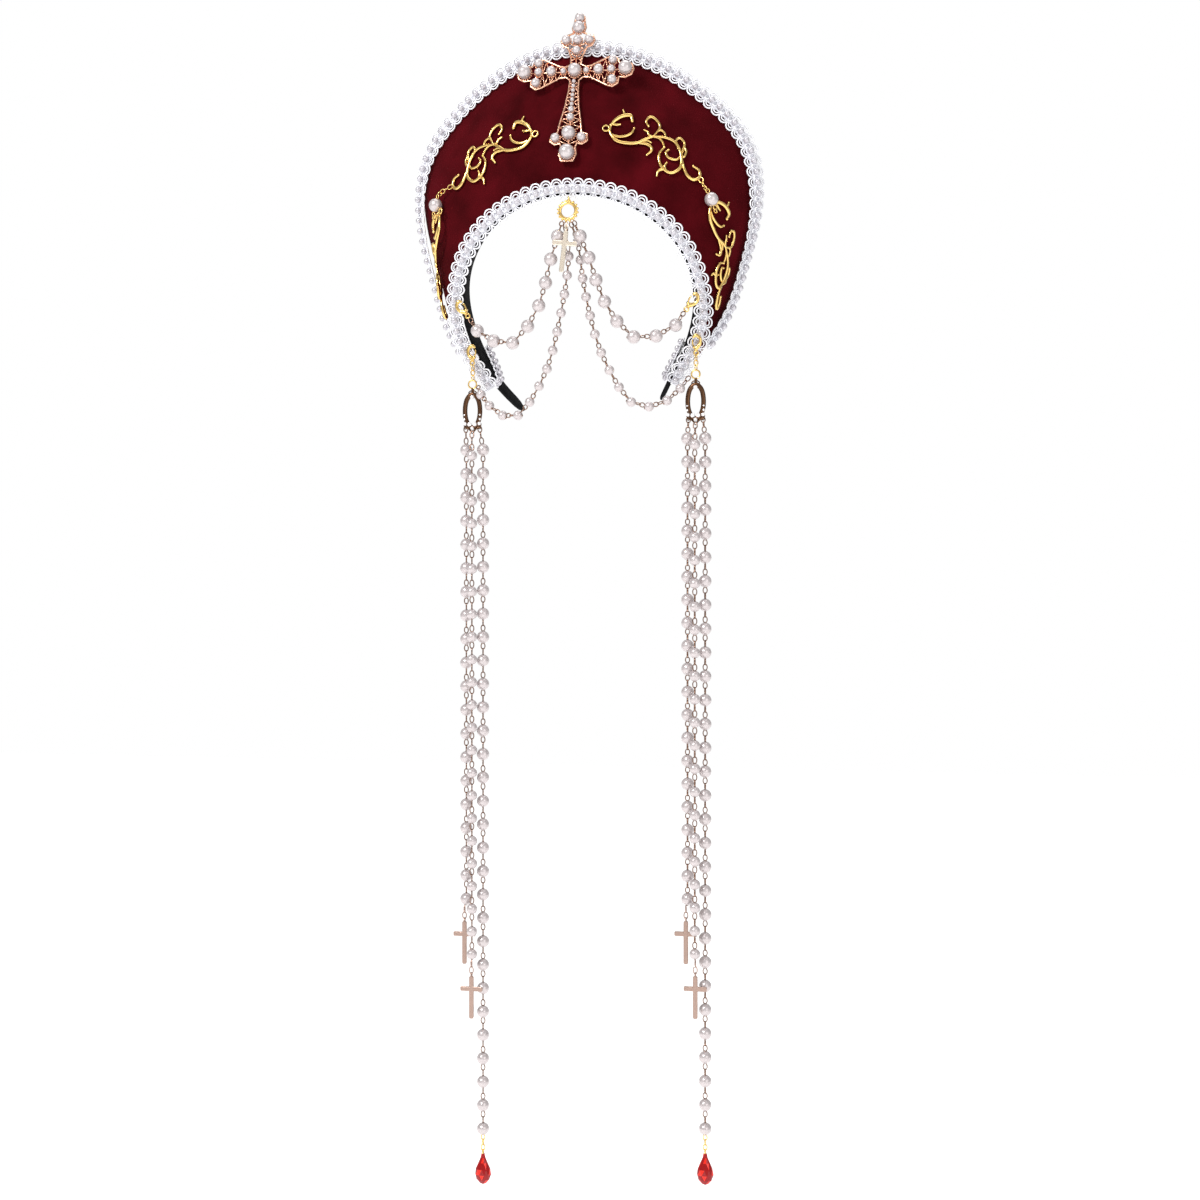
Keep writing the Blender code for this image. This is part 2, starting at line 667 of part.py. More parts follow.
for name, x, y, first, pitch, count, radius in STRANDS:
    length = pitch * (count - 1) + 2 * radius
    steps = round(length / (radius * 5))
    side = -1 if "left" in name else 1
    middle = TASSEL_LEFT - 1.4 if side < 0 else TASSEL_RIGHT - 0.4
    foot = -124.4 if side < 0 else -122.0
    lean = 0 if "middle" in name else (1 if x > middle else -1)
    top = Vector((middle + lean * 4.7, HANG_Y, foot - (10.4 if lean else 13.75)))
    start = first + radius * 0.3
    reach = length - radius * 0.7
    path = [Vector((x, y, start - reach * k / steps)) for k in range(steps + 1)]
    bead_cord(name, path, radius, top)


# Small crosses: columns name, x, y, top, height, width, bar
CROSSES = [
    ("cross_left_outer", TASSEL_LEFT - 6.6, HANG_Y, -443.1, 26.5, 14.0, 2.8),
    ("cross_left_middle", TASSEL_LEFT - 0.3, HANG_Y - 6.2, -475.8, 26.2, 14.0, 2.8),
    ("cross_right_inner", TASSEL_RIGHT - 6.4, HANG_Y, -437.5, 26.0, 14.0, 2.8),
    ("cross_right_middle", TASSEL_RIGHT + 0.3, HANG_Y - 6.2, -469.3, 25.6, 14.0, 2.8),
    ("centre_cross", 0.6, -6.9, -22.0, 24.5, 15.0, 2.8),
]


def small_cross(name, x, y, top, height, width, bar):
    tilt = math.radians(7) if name == "centre_cross" else 0.0
    b, w, cut = bar / 2, width / 2, height * 0.3
    half = [(b, 0), (b, -cut + b), (w, -cut + b), (w, -cut - b), (b, -cut - b), (b, -height)]
    edge = half + [(-u, v) for u, v in reversed(half)]
    c, s = math.cos(tilt), math.sin(tilt)

    def place(u, v, h):
        return Vector((x + u * c + v * s, y - h, top + v * c - u * s))

    bm = bmesh.new()
    plate_into(bm, [edge], -0.8, 0.8, place)
    ob = add_object(name, bm, GOLD if name == "centre_cross" else ROSE)
    eye = ring_rings(place(0, 1.1, 0), Vector((1, 0, 0)), UP, 1.3, 0.4, 4, 6)
    combine(ob, loft(name + "_eye", eye, GOLD, loop=True, cutter=True))
    high = {"cross_left_outer": -433.4, "cross_left_middle": -465.8, "cross_right_inner": -428.3,
            "cross_right_middle": -459.6, "centre_cross": -16.6}[name]
    combine(ob, tall_link(name + "_link", x, y, top + 1.6, high, 2.6 if name == "centre_cross" else 0.0))


for row in CROSSES:
    small_cross(*row)


# Red faceted drops: a pear shape cut in rows, with a cap and an eye
# columns: height from the top, half width
DROP = [(0.0, 1.1), (2.6, 1.6), (5.6, 3.0), (9.4, 4.7), (12.8, 5.2), (16.0, 4.2), (18.2, 2.2), (19.0, 0.6)]
for name, x, top in [("drop_left", TASSEL_LEFT + 5.4, -587.4), ("drop_right", TASSEL_RIGHT + 5.4, -577.8)]:
    rings = []
    for k, (down, half) in enumerate(DROP):
        ring = []
        for i in range(10):
            w = 2 * math.pi * (i + 0.5 * (k % 2)) / 10
            ring.append(Vector((x + math.cos(w) * half, HANG_Y + math.sin(w) * half * 0.72, top - down)))
        rings.append(ring)
    rings.reverse()
    drop = loft(name, rings, RUBY)
    eye = ring_rings(Vector((x, HANG_Y, top + 1.2)), Vector((1, 0, 0)), UP, 1.6, 0.45, 5, 8)
    combine(drop, loft(name + "_eye", eye, GOLD, loop=True, cutter=True))
    high = -576.15 if name == "drop_left" else -567.2
    combine(drop, tall_link(name + "_link", x, HANG_Y, top + 2.2, high))


# Lobster clasps: a claw with its eye, and a lever on a pin. Columns x, y seen flat
CLAW = [(4.8, 0.9), (3.4, 2.3), (1.6, 2.4), (1.6, 0.2), (0.6, -1.0), (-1.4, -1.4), (-3.4, -0.8), (-4.1, 0.6),
        (-3.5, 1.6), (-2.7, 1.9), (-2.9, 3.0), (-4.4, 2.6), (-5.6, 0.8), (-5.0, -1.6), (-2.6, -3.0),
        (0.6, -2.8), (3.2, -1.6), (4.8, -0.9)]
LEVER = [(3.2, 1.4), (2.95, 0.85), (2.4, 0.6), (1.7, 0.8), (0.9, 1.4), (-0.6, 2.0), (-2.3, 2.0), (-2.3, 2.9),
         (-0.6, 3.1), (1.2, 2.7), (2.4, 2.25), (3.0, 1.95)]
PIVOT = (2.4, 1.4)
# columns: name, x, y, z, lean in degrees from hanging straight, side of the lever
CLASPS = [
    ("upper_left", -71.4, 17.6, -61.6, 38.0, 1),
    ("upper_right", 73.0, 17.6, -62.4, -38.0, -1),
    ("lower_left", -67.6, HANG_Y + 0.8, -88.5, 4.0, 1),
    ("lower_right", 74.3, HANG_Y + 0.8, -86.5, -2.0, -1),
]


def circle(centre, radius, count):
    return [(centre[0] + radius * math.cos(2 * math.pi * i / count),
             centre[1] + radius * math.sin(2 * math.pi * i / count)) for i in range(count)]


def clasp(name, x, y, z, lean, hand):
    w = math.radians(lean)
    down = Vector((math.sin(w), 0, -math.cos(w)))
    side = Vector((math.cos(w), 0, math.sin(w))) * hand
    at = Vector((x, y, z))

    def place(u, v, h):
        return at + down * u + side * v + FRONT * h

    bm = bmesh.new()
    plate_into(bm, [CLAW], -1.1, 1.1, place)
    claw = add_object("clasp_" + name, bm, GOLD)
    bm = bmesh.new()
    plate_into(bm, [[(0.2, -0.5), (3.7, -0.5), (3.7, 4.0), (0.2, 4.0)]], -0.6, 0.6, place)
    combine(claw, add_object(name + "_slot", bm, GOLD, cutter=True), "DIFFERENCE")
    bm = bmesh.new()
    plate_into(bm, [circle(PIVOT, 0.4, 8)], -0.9, 0.9, place)
    combine(claw, add_object(name + "_pin", bm, GOLD, cutter=True))
    eye = ring_rings(place(5.9, 0, 0), FRONT, down, 1.3, 0.5, 5, 8)
    combine(claw, loft(name + "_eye", eye, GOLD, loop=True, cutter=True))
    bm = bmesh.new()
    plate_into(bm, [LEVER, circle(PIVOT, 0.6, 8)], -0.35, 0.35, place)
    add_object("lever_" + name, bm, GOLD)


for row in CLASPS:
    clasp(*row)

# Bronze ovals: a pointed oval rim with a border of small stones and three loops at the foot
OVAL_EDGE = [(0.9, 14.2), (1.6, 11.8), (3.6, 9.4), (5.0, 5.4), (5.4, 0.6), (5.0, -4.4), (5.6, -7.4),
             (4.4, -9.8), (3.0, -11.6), (1.4, -13.2)]
OVAL_HOLE = [(1.2, 8.4), (2.8, 6.6), (3.7, 3.6), (4.0, 0.2), (3.6, -3.6), (2.6, -6.4), (1.2, -7.8)]
# columns: x, y, radius
OVAL_STONES = [(0, 8.5, 1.4), (-4.9, -3.0, 0.9), (4.9, -3.0, 0.9), (-1.6, -8.6, 1.4), (1.6, -8.6, 1.4),
               (-4.6, -8.0, 1.2), (4.6, -8.0, 1.2)]
# columns: name, x, z
OVALS = [("oval_frame_left", TASSEL_LEFT - 1.4, -124.4), ("oval_frame_right", TASSEL_RIGHT - 0.4, -122.0)]
for name, x, z in OVALS:
    def place(u, v, h):
        return Vector((x + u, HANG_Y - h, z + v))

    bm = bmesh.new()
    edge = OVAL_EDGE + [(-u, v) for u, v in reversed(OVAL_EDGE)]
    hole = OVAL_HOLE + [(-u, v) for u, v in reversed(OVAL_HOLE)]
    plate_into(bm, [edge, hole], -0.8, 0.8, place)
    oval = add_object(name, bm, BRONZE)
    bm = bmesh.new()
    for u, v, r in OVAL_STONES:
        ball_into(bm, place(u, v, 0.9), r, 6, 4, FRONT)
    combine(oval, add_object(name + "_stones", bm, BRONZE, cutter=True))
    hanger = ring_rings(place(0, 16.6, 0), FRONT, UP, 2.6, 0.55, 5, 12)
    combine(oval, loft(name + "_hanger", hanger, GOLD, loop=True, cutter=True))
    high = -96.5 if x < 0 else -94.6
    combine(oval, tall_link(name + "_link", x, HANG_Y, z + 18.6, high))
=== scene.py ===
import math
import random

import bpy
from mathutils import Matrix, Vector


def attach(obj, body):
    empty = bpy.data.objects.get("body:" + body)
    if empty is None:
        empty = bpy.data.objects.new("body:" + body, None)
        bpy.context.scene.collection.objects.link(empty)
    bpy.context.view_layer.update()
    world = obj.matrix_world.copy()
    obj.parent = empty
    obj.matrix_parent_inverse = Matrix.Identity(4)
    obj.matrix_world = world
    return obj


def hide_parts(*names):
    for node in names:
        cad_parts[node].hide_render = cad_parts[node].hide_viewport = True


# Looks of the costume coronet. Lengths are in millimetres until MM turns them into metres.
MM = 0.001
ROOT = "coronet"
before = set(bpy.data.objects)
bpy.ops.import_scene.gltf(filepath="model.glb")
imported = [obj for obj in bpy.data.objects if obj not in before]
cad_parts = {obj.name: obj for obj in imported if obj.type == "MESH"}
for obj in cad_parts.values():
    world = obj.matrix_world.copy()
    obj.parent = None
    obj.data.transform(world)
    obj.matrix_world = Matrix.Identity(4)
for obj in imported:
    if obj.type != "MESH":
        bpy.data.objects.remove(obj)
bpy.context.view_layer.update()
random.seed(7)

FRONT = Vector((0, -1, 0))
RIGHT = Vector((1, 0, 0))
UP = Vector((0, 0, 1))


# Materials
def shade(name, colour, roughness, metallic=0.0, **extra):
    mat = bpy.data.materials.new(name)
    mat.use_nodes = True
    shader = mat.node_tree.nodes["Principled BSDF"]
    shader.inputs["Base Color"].default_value = (*colour, 1.0)
    shader.inputs["Roughness"].default_value = roughness
    shader.inputs["Metallic"].default_value = metallic
    for key, value in extra.items():
        shader.inputs[key.replace("_", " ")].default_value = value
    return mat


# Noise below the first value shows the dark tone, and above the second the light one
DARK_BELOW, LIGHT_ABOVE = 0.32, 0.7
BUMP_HEIGHT_M = 0.0004


def mottle(mat, dark, light, scale, detail, bump, bump_scale):
    """uneven colour from noise, and a fine bump"""
    tree = mat.node_tree
    shader = tree.nodes["Principled BSDF"]
    place = tree.nodes.new("ShaderNodeTexCoord")
    noise = tree.nodes.new("ShaderNodeTexNoise")
    noise.inputs["Scale"].default_value = scale
    noise.inputs["Detail"].default_value = detail
    ramp = tree.nodes.new("ShaderNodeValToRGB")
    ramp.color_ramp.elements[0].position = DARK_BELOW
    ramp.color_ramp.elements[1].position = LIGHT_ABOVE
    ramp.color_ramp.elements[0].color = (*dark, 1)
    ramp.color_ramp.elements[1].color = (*light, 1)
    tree.links.new(place.outputs["Object"], noise.inputs["Vector"])
    tree.links.new(noise.outputs["Fac"], ramp.inputs["Fac"])
    tree.links.new(ramp.outputs["Color"], shader.inputs["Base Color"])
    fine = tree.nodes.new("ShaderNodeTexNoise")
    fine.inputs["Scale"].default_value = bump_scale
    fine.inputs["Detail"].default_value = 3.0
    tree.links.new(place.outputs["Object"], fine.inputs["Vector"])
    node = tree.nodes.new("ShaderNodeBump")
    node.inputs["Strength"].default_value = bump
    node.inputs["Distance"].default_value = BUMP_HEIGHT_M
    tree.links.new(fine.outputs["Fac"], node.inputs["Height"])
    tree.links.new(node.outputs["Normal"], shader.inputs["Normal"])
    return mat


VELVET = mottle(shade("velvet", (0.1, 0.003, 0.009), 0.95, Sheen_Weight=0.06, Sheen_Roughness=0.5,
                      Sheen_Tint=(0.8, 0.06, 0.1, 1), Specular_IOR_Level=0.04),
                (0.034, 0.0009, 0.0018), (0.078, 0.0022, 0.0048), 38, 6.0, 0.5, 1400)
CLOTH = mottle(shade("black cloth", (0.004, 0.004, 0.0045), 0.9, Specular_IOR_Level=0.15),
               (0.003, 0.003, 0.0035), (0.009, 0.009, 0.01), 300, 3.0, 0.4, 1800)
BRAID = mottle(shade("white braid", (0.7, 0.7, 0.73), 0.6),
               (0.6, 0.6, 0.65), (0.82, 0.82, 0.86), 500, 2.0, 0.5, 3000)
CORD = shade("braid cord", (0.87, 0.87, 0.91), 0.5)
PEARL = shade("pearl", (0.6, 0.54, 0.54), 0.3, 0.45, Coat_Weight=0.6, Coat_Roughness=0.2)
SEED = shade("braid pearl", (0.58, 0.56, 0.6), 0.3, 0.45, Coat_Weight=0.6, Coat_Roughness=0.2)
ROSE = shade("rose gold", (0.88, 0.5, 0.34), 0.24, 1.0)
GOLD = shade("pale gold", (0.92, 0.63, 0.22), 0.2, 1.0)
PALE = shade("champagne gold", (0.93, 0.82, 0.68), 0.25, 1.0)
LINK = shade("link gold", (0.27, 0.165, 0.12), 0.25, 1.0)
BRONZE = shade("antique bronze", (0.13, 0.065, 0.035), 0.3, 1.0)
STONE = shade("clear stone", (0.8, 0.78, 0.78), 0.03, 0.0, Coat_Weight=1.0, Coat_IOR=1.9)
CHAMPAGNE = shade("dull rose gold", (0.44, 0.31, 0.26), 0.32, 1.0)
RUBY = shade("ruby glass", (0.3, 0.0, 0.001), 0.12, Specular_IOR_Level=0.4)
# a lighter copy of the ruby glass for some facets: painted glints
RUBY_PAINTED_GLINT = shade("ruby glass painted glint", (0.8, 0.02, 0.008), 0.12, Specular_IOR_Level=0.4)


# Mesh building
class Skin:
    """gathers many small shapes into one mesh"""

    def __init__(self):
        self.points = []
        self.faces = []
        self.slots = []
        self.slot = 0

    def grid(self, rings, loop=False):
        """a closed skin over rings that have the same number of points"""
        at = len(self.points)
        n = len(rings[0])
        for ring in rings:
            self.points.extend(p * MM for p in ring)
        count = len(rings)
        for k in range(count if loop else count - 1):
            a = at + k * n
            b = at + ((k + 1) % count) * n
            for i in range(n):
                j = (i + 1) % n
                self.face((a + i, a + j, b + j, b + i))
        if not loop:
            self.face(tuple(at + i for i in reversed(range(n))))
            self.face(tuple(at + (count - 1) * n + i for i in range(n)))

    def face(self, corners):
        self.faces.append(corners)
        self.slots.append(self.slot)

    def ball(self, centre, radius, sides=16, steps=10, axis=UP, flat=1.0):
        axis = axis.normalized()
        a = axis.orthogonal().normalized()
        b = axis.cross(a)
        at = len(self.points)
        self.points.append((centre - axis * radius * flat) * MM)
        for k in range(1, steps):
            w = math.pi * k / steps
            for i in range(sides):
                u = 2 * math.pi * i / sides
                d = (a * math.cos(u) + b * math.sin(u)) * math.sin(w) - axis * math.cos(w) * flat
                self.points.append((centre + d * radius) * MM)
        self.points.append((centre + axis * radius * flat) * MM)
        top = at + 1 + (steps - 1) * sides
        for i in range(sides):
            j = (i + 1) % sides
            self.face((at, at + 1 + j, at + 1 + i))
            self.face((top, top - sides + i, top - sides + j))
            for k in range(steps - 2):
                r = at + 1 + k * sides
                self.face((r + i, r + j, r + sides + j, r + sides + i))

    def tube(self, points, radii, sides, loop=False, start=FRONT):
        """a round wire through the points, of one radius or of one for each point"""
        if not isinstance(radii, list):
            radii = [radii] * len(points)
        n = len(points)
        side = start
        rings = []
        for i, p in enumerate(points):
            if loop:
                t = (points[(i + 1) % n] - points[i - 1]).normalized()
            else:
                t = (points[min(i + 1, n - 1)] - points[max(i - 1, 0)]).normalized()
            side = side - t * side.dot(t)
            if side.length < 1e-6:
                side = t.orthogonal()
            side.normalize()
            other = t.cross(side)
            r = radii[i]
            rings.append([p + side * (math.cos(w) * r) + other * (math.sin(w) * r)
                          for w in [2 * math.pi * k / sides for k in range(sides)]])
        self.grid(rings, loop=loop)

    def ring(self, centre, axis, up, radius, wire, steps=14, sides=6, tall=1.0):
        side = axis.cross(up)
        path = [centre + up * (math.cos(w) * radius * tall) + side * (math.sin(w) * radius)
                for w in [2 * math.pi * k / steps for k in range(steps)]]
        self.tube(path, wire, sides, loop=True, start=axis)

    def make(self, name, mats, body=ROOT, replaces=(), smooth=True):
        mesh = bpy.data.meshes.new(name)
        mesh.from_pydata([tuple(p) for p in self.points], [], self.faces)
        mesh.update()
        for mat in mats if isinstance(mats, list) else [mats]:
            mesh.materials.append(mat)
        mesh.polygons.foreach_set("material_index", self.slots)
        mesh.polygons.foreach_set("use_smooth", [smooth] * len(mesh.polygons))
        ob = bpy.data.objects.new(name, mesh)
        bpy.context.scene.collection.objects.link(ob)
        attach(ob, body)
        if replaces:
            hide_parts(*([replaces] if isinstance(replaces, str) else replaces))
        return ob


def mix(a, b, t):
    return a + (b - a) * t


def past(angle, start):
    """how many degrees an angle is beyond a start"""
    return max(0.0, angle - start)


def smooth_path(points, per=6):
    """a smooth curve through a few points, with per steps between two of them"""
    last = len(points) - 1

    def slope(j):
        lo, hi = max(j - 1, 0), min(j + 1, last)
        return (points[hi] - points[lo]) / (hi - lo)

    path = []
    for step in range(last * per + 1):
        i = min(step // per, last - 1)
        t = step / per - i
        stay, go = 2 * t ** 3 - 3 * t ** 2 + 1, 3 * t ** 2 - 2 * t ** 3
        leave, arrive = t ** 3 - 2 * t ** 2 + t, t ** 3 - t ** 2
        path.append(points[i] * stay + slope(i) * leave + points[i + 1] * go + slope(i + 1) * arrive)
    return path


def spread(path, count, lead, tail):
    """even places along a path, the first and the last set in from its ends"""
    reach = [0.0]
    for a, b in zip(path, path[1:]):
        reach.append(reach[-1] + (b - a).length)
    places = []
    for k in range(count):
        want = lead + (reach[-1] - lead - tail) * k / (count - 1)
        i = sum(1 for r in reach[1:-1] if r < want)
        places.append(mix(path[i], path[i + 1], (want - reach[i]) / (reach[i + 1] - reach[i])))
    return places


def mirrored(p):
    return Vector((-p.x, p.y, p.z))


# The hoop that the head fills: a circle pressed lower, leaning back, with ends that curl back.
# Angles run from its top (0) to a lower end (142).
HOOP_HALF = 72.0
HOOP_SQUASH = 0.808
HOOP_LEAN = 0.36
HOOP_STRAIGHTEN = 0.0006
HOOP_TAIL_START, HOOP_TAIL = 85.0, 0.0053
HOOP_CURL_START, HOOP_CURL = 125.0, 0.05
HOOP_BACK = Vector((0, 0.912, 0.41))
BAND_WIDTH = 15.0
BAND_TAPER_START, BAND_TAPER = 100.0, 0.0034


def hoop_edge(angle):
    """the hoop's inner face along its front edge"""
    drop = HOOP_HALF * (1 - math.cos(math.radians(angle)))
    back = drop * (HOOP_LEAN - HOOP_STRAIGHTEN * drop) + HOOP_CURL * past(angle, HOOP_CURL_START) ** 2
    down = drop * HOOP_SQUASH + HOOP_TAIL * past(angle, HOOP_TAIL_START) ** 2
    return Vector((HOOP_HALF * math.sin(math.radians(angle)), back, -down))


def hoop_frame(angle):
    """point, along, back and out directions at an angle of 0 or more"""
    along = (hoop_edge(angle + 0.5) - hoop_edge(angle - 0.5)).normalized()
    back = (HOOP_BACK - along * HOOP_BACK.dot(along)).normalized()
    return hoop_edge(angle), along, back, along.cross(back)


def hoop(angle, out=0.0, back=0.0):
    p, along, b, o = hoop_frame(abs(angle))
    q = p + o * out + b * back
    return q if angle >= 0 else mirrored(q)


# The row of pearls at the velvet's outer edge: round as seen from the front, a little wider at
# its shoulders and narrower below them, and swept back toward its sides.
CROWN_MIDDLE = -8.0
CROWN_RADIUS = 107.5
CROWN_FAN, CROWN_FAN_SLOWS = 1.56, 0.003
SHOULDER_AT, SHOULDER_WIDTH, SHOULDER = 64.0, 17.0, 5.0
WAIST_AT, WAIST_WIDTH, WAIST = 106.0, 20.0, 6.5
FOOT_AT, FOOT = 122.0, 0.010
CROWN_BACK = 29.5
CROWN_SWEEP, CROWN_SWEEP_END = 26.0, 152.0
CROWN_BULGE, BULGE_FADES, BULGE_FADE = 4.0, 60.0, 0.0625
PANEL_END = 116
PANEL_THICK = 2.0
PANEL_OUT, PANEL_BACK = 4.9, 2.6


def crown_edge(angle):
    fan = CROWN_FAN * angle - CROWN_FAN_SLOWS * angle * abs(angle)
    shoulder = SHOULDER * math.exp(-((abs(fan) - SHOULDER_AT) / SHOULDER_WIDTH) ** 2)
    waist = WAIST * math.exp(-((abs(fan) - WAIST_AT) / WAIST_WIDTH) ** 2)
    radius = CROWN_RADIUS + shoulder - waist + FOOT * past(abs(fan), FOOT_AT) ** 2
    sweep = CROWN_SWEEP * math.sin(math.pi * abs(angle) / CROWN_SWEEP_END) ** 1.6
    turn = math.radians(fan)
    return Vector((radius * math.sin(turn), CROWN_BACK + sweep, CROWN_MIDDLE + radius * math.cos(turn)))


def panel(angle, across, lift=0.0):
    """the velvet's front face: across is 0 at the hoop and 1 at the outer pearls"""
    a = abs(angle)

    def ends(at):
        foot, along, back, out = hoop_frame(at)
        return foot + out * PANEL_OUT + back * PANEL_BACK, crown_edge(at)

    low, high = ends(a)
    low_after, high_after = ends(a + 0.5)
    low_before, high_before = ends(a - 0.5)
    edge = (low_after - low_before).normalized() + (high_after - high_before).normalized()
    face = edge.cross(high - low).normalized()
    if face.y > 0:
        face = -face
    bulge = CROWN_BULGE - BULGE_FADE * past(a, BULGE_FADES)
    p = mix(low, high, across) + face * (4 * across * (1 - across) * bulge + lift)
    return p if angle >= 0 else mirrored(p)


def on_panel(angle, across, x, y, lift, turn=0.0):
    """lays a flat drawing on the velvet: x runs down the right side, y toward the outer edge"""
    c, s = math.cos(turn), math.sin(turn)
    u, v = c * x - s * y, s * x + c * y
    step = (panel(angle, across + 0.01) - panel(angle, across)).length * 100
    row = across + v / step
    turn_len = (panel(angle + 1, row) - panel(angle, row)).length
    return panel(angle + u / turn_len, row, lift)


# The outer braid stands more upright than the velvet that it is sewn on
TRIM_LEAN = 0.55
TRIM_TURNS, TRIM_TURNS_OVER = 50.0, 35.0
TRIM_INSET = 2.6
TRIM_HALF = 5.4
TRIM_LIFT = 0.8


def outer_braid_frame(angle):
    """the outer braid's middle line, and its across and face directions"""
    a = abs(angle)
    span = (panel(a, 1) - panel(a, 0)).length
    p = panel(a, 1.0 - TRIM_INSET / max(span, 12.0), TRIM_LIFT)
    q = panel(a, 1.0 - (TRIM_INSET + 4.0) / max(span, 12.0), TRIM_LIFT)
    slope = (p - q).normalized()
    along = (panel(a + 0.5, 1) - panel(a - 0.5, 1)).normalized()
    lean = mix(TRIM_LEAN, 1.0, min(past(a, TRIM_TURNS) / TRIM_TURNS_OVER, 1.0))
    across = Vector((slope.x, slope.y * lean, slope.z))
    across = (across - along * across.dot(along)).normalized()
    face = across.cross(along)
    if face.y > 0:
        face = -face
    clear = TRIM_HALF * math.sqrt(max(0.0, 1 - slope.dot(across) ** 2))
    return p + face * clear, across, face


# The inner braid stands away from the hoop along its sides, and lies on it past the velvet's end
BRAID_OUT = 4.6
BRAID_SPREAD, BRAID_SPREADS, BRAID_SPREADS_OVER = 2.6, 80.0, 20.0
BRAID_FADES, BRAID_FADES_OVER = 112.0, 12.0


def inner_braid_frame(angle):
    """the inner braid's middle line, and its across and face directions"""
    a = abs(angle)
    p, along, back, out = hoop_frame(a)
    fade = min(past(a, BRAID_FADES) / BRAID_FADES_OVER, 1.0)
    toward = (panel(min(a, PANEL_END), 0.15) - panel(min(a, PANEL_END), 0)).normalized()
    spread_out = BRAID_SPREAD * min(past(a, BRAID_SPREADS) / BRAID_SPREADS_OVER, 1.0) * (1 - fade)
    lean = toward * (0.5 * (1 - fade)) + out
    lean = (lean - along * lean.dot(along)).normalized()
    face = lean.cross(along)
    if face.y > 0:
        face = -face
    middle = p + out * (BRAID_OUT + spread_out) + back * mix(2.4, 1.7, fade) - back * 0.1
    return middle, lean, face


# Brooch
BROOCH_AT = Vector((0.8, 17.7, 80.1))
BROOCH_TALL = 1.095
BROOCH_ROLL = 0.022
BROOCH_UP = Vector((0, 0.2873, 0.9578))
BROOCH_FACE = Vector((0, -0.9578, 0.2873))


def on_brooch(x, y, h):
    side, rise = x + y * BROOCH_ROLL, y * BROOCH_TALL - x * BROOCH_ROLL
    return BROOCH_AT + RIGHT * side + BROOCH_UP * rise + BROOCH_FACE * h


# right half of the outline from the top to the foot: columns x, y
BROOCH_EDGE = [
    (3.0, 35.0), (3.3, 31.4), (4.2, 28.4), (3.4, 24.8), (9.3, 23.0), (10.6, 19.8), (8.8, 16.6), (5.8, 15.6),
    (3.4, 9.0), (3.2, 4.6), (6.4, 3.0), (10.0, 3.6), (20.2, 8.4), (23.8, 8.7), (26.6, 6.6), (27.2, 4.2),
    (31.4, 4.9), (35.2, 3.2), (36.4, 0.0), (35.2, -3.2), (31.4, -4.9), (27.4, -4.4), (27.2, -8.4),
    (24.0, -10.4), (20.4, -9.4), (10.0, -3.9), (5.2, -3.4), (2.7, -5.6), (2.9, -12.0), (4.2, -22.0),
    (6.6, -33.0), (7.4, -38.6), (11.0, -39.8), (11.6, -44.0), (8.4, -46.0), (5.2, -45.2), (4.4, -47.8),
    (5.4, -52.2), (3.6, -56.2),
]


# Gold scrolls. The casting is drawn on a grid of 11.8 steps to the millimetre.
# Each stroke: half thickness at its middle, then its points: columns right, down
GRID = 1 / 11.8
SCROLL = {
    "stem": (0.95, [(130, 195), (118, 250), (150, 325), (220, 362), (290, 366), (345, 340), (400, 322)]),
    "crest": (1.15, [(130, 195), (165, 160), (215, 140), (262, 146), (268, 190)]),
    "hook": (0.8, [(122, 265), (165, 298), (215, 303), (255, 285), (275, 250)]),
    "leaf": (0.85, [(285, 366), (360, 385), (382, 425), (345, 463)]),
    "top_curl": (0.8, [(400, 322), (455, 250), (435, 190), (395, 165), (362, 200), (375, 240)]),
    "loop": (0.9, [(395, 322), (480, 325), (560, 355), (600, 440), (590, 540), (510, 592), (440, 545),
                   (432, 460), (475, 402)]),
    "run": (0.95, [(600, 440), (620, 540), (650, 590), (705, 605), (758, 572), (750, 528), (700, 512)]),
    "spiral": (0.75, [(600, 455), (560, 488), (505, 480), (484, 445), (508, 418)]),
    "bow": (0.75, [(580, 400), (570, 345), (602, 320), (634, 352), (622, 400), (604, 450)]),
}
SCROLL_MIDDLE = (408, 405)
SCROLL_SLOPE = math.radians(32)


def scroll_point(right, down):
    u = (right - SCROLL_MIDDLE[0]) * GRID
    w = (SCROLL_MIDDLE[1] - down) * GRID
    c, s = math.cos(SCROLL_SLOPE), math.sin(SCROLL_SLOPE)
    return u * c - w * s, u * s + w * c


# columns: node, side, angle, across, turn, how narrow, how far its inner edge tips forward
SCROLL_PLACES = [
    ("filigree_upper_right", 1, 27.4, 0.40, 0.0, 1.0, 0.0),
    ("filigree_upper_left", -1, 27.8, 0.42, 0.08, 1.0, 0.0),
    ("filigree_lower_right", 1, 73.6, 0.42, 0.0, 0.62, 0.0),
    ("filigree_lower_left", -1, 73.5, 0.46, 0.0, 0.72, 0.25),
]


# Velvet wall, finer than the solid and softened at its edges
def velvet_wall():
    skin = Skin()
    steps, rows = 150, 24
    rings = []
    for k in range(steps + 1):
        angle = -PANEL_END + 2 * PANEL_END * k / steps
        span = max((panel(angle, 1) - panel(angle, 0)).length, 10.0)
        low, high = 1.2 / span, 1.0 + 2.0 / span
        front = [panel(angle, mix(low, high, r / rows), 0.0) for r in range(rows + 1)]
        edge = panel(angle, high + 0.8 / span, -PANEL_THICK / 2)
        rear = [panel(angle, mix(low, high, r / 8), -PANEL_THICK) for r in range(8, -1, -1)]
        rings.append(front + [edge] + rear)
    skin.grid(rings)
    return skin.make("velvet", VELVET, replaces="crown_panel")


velvet_wall()


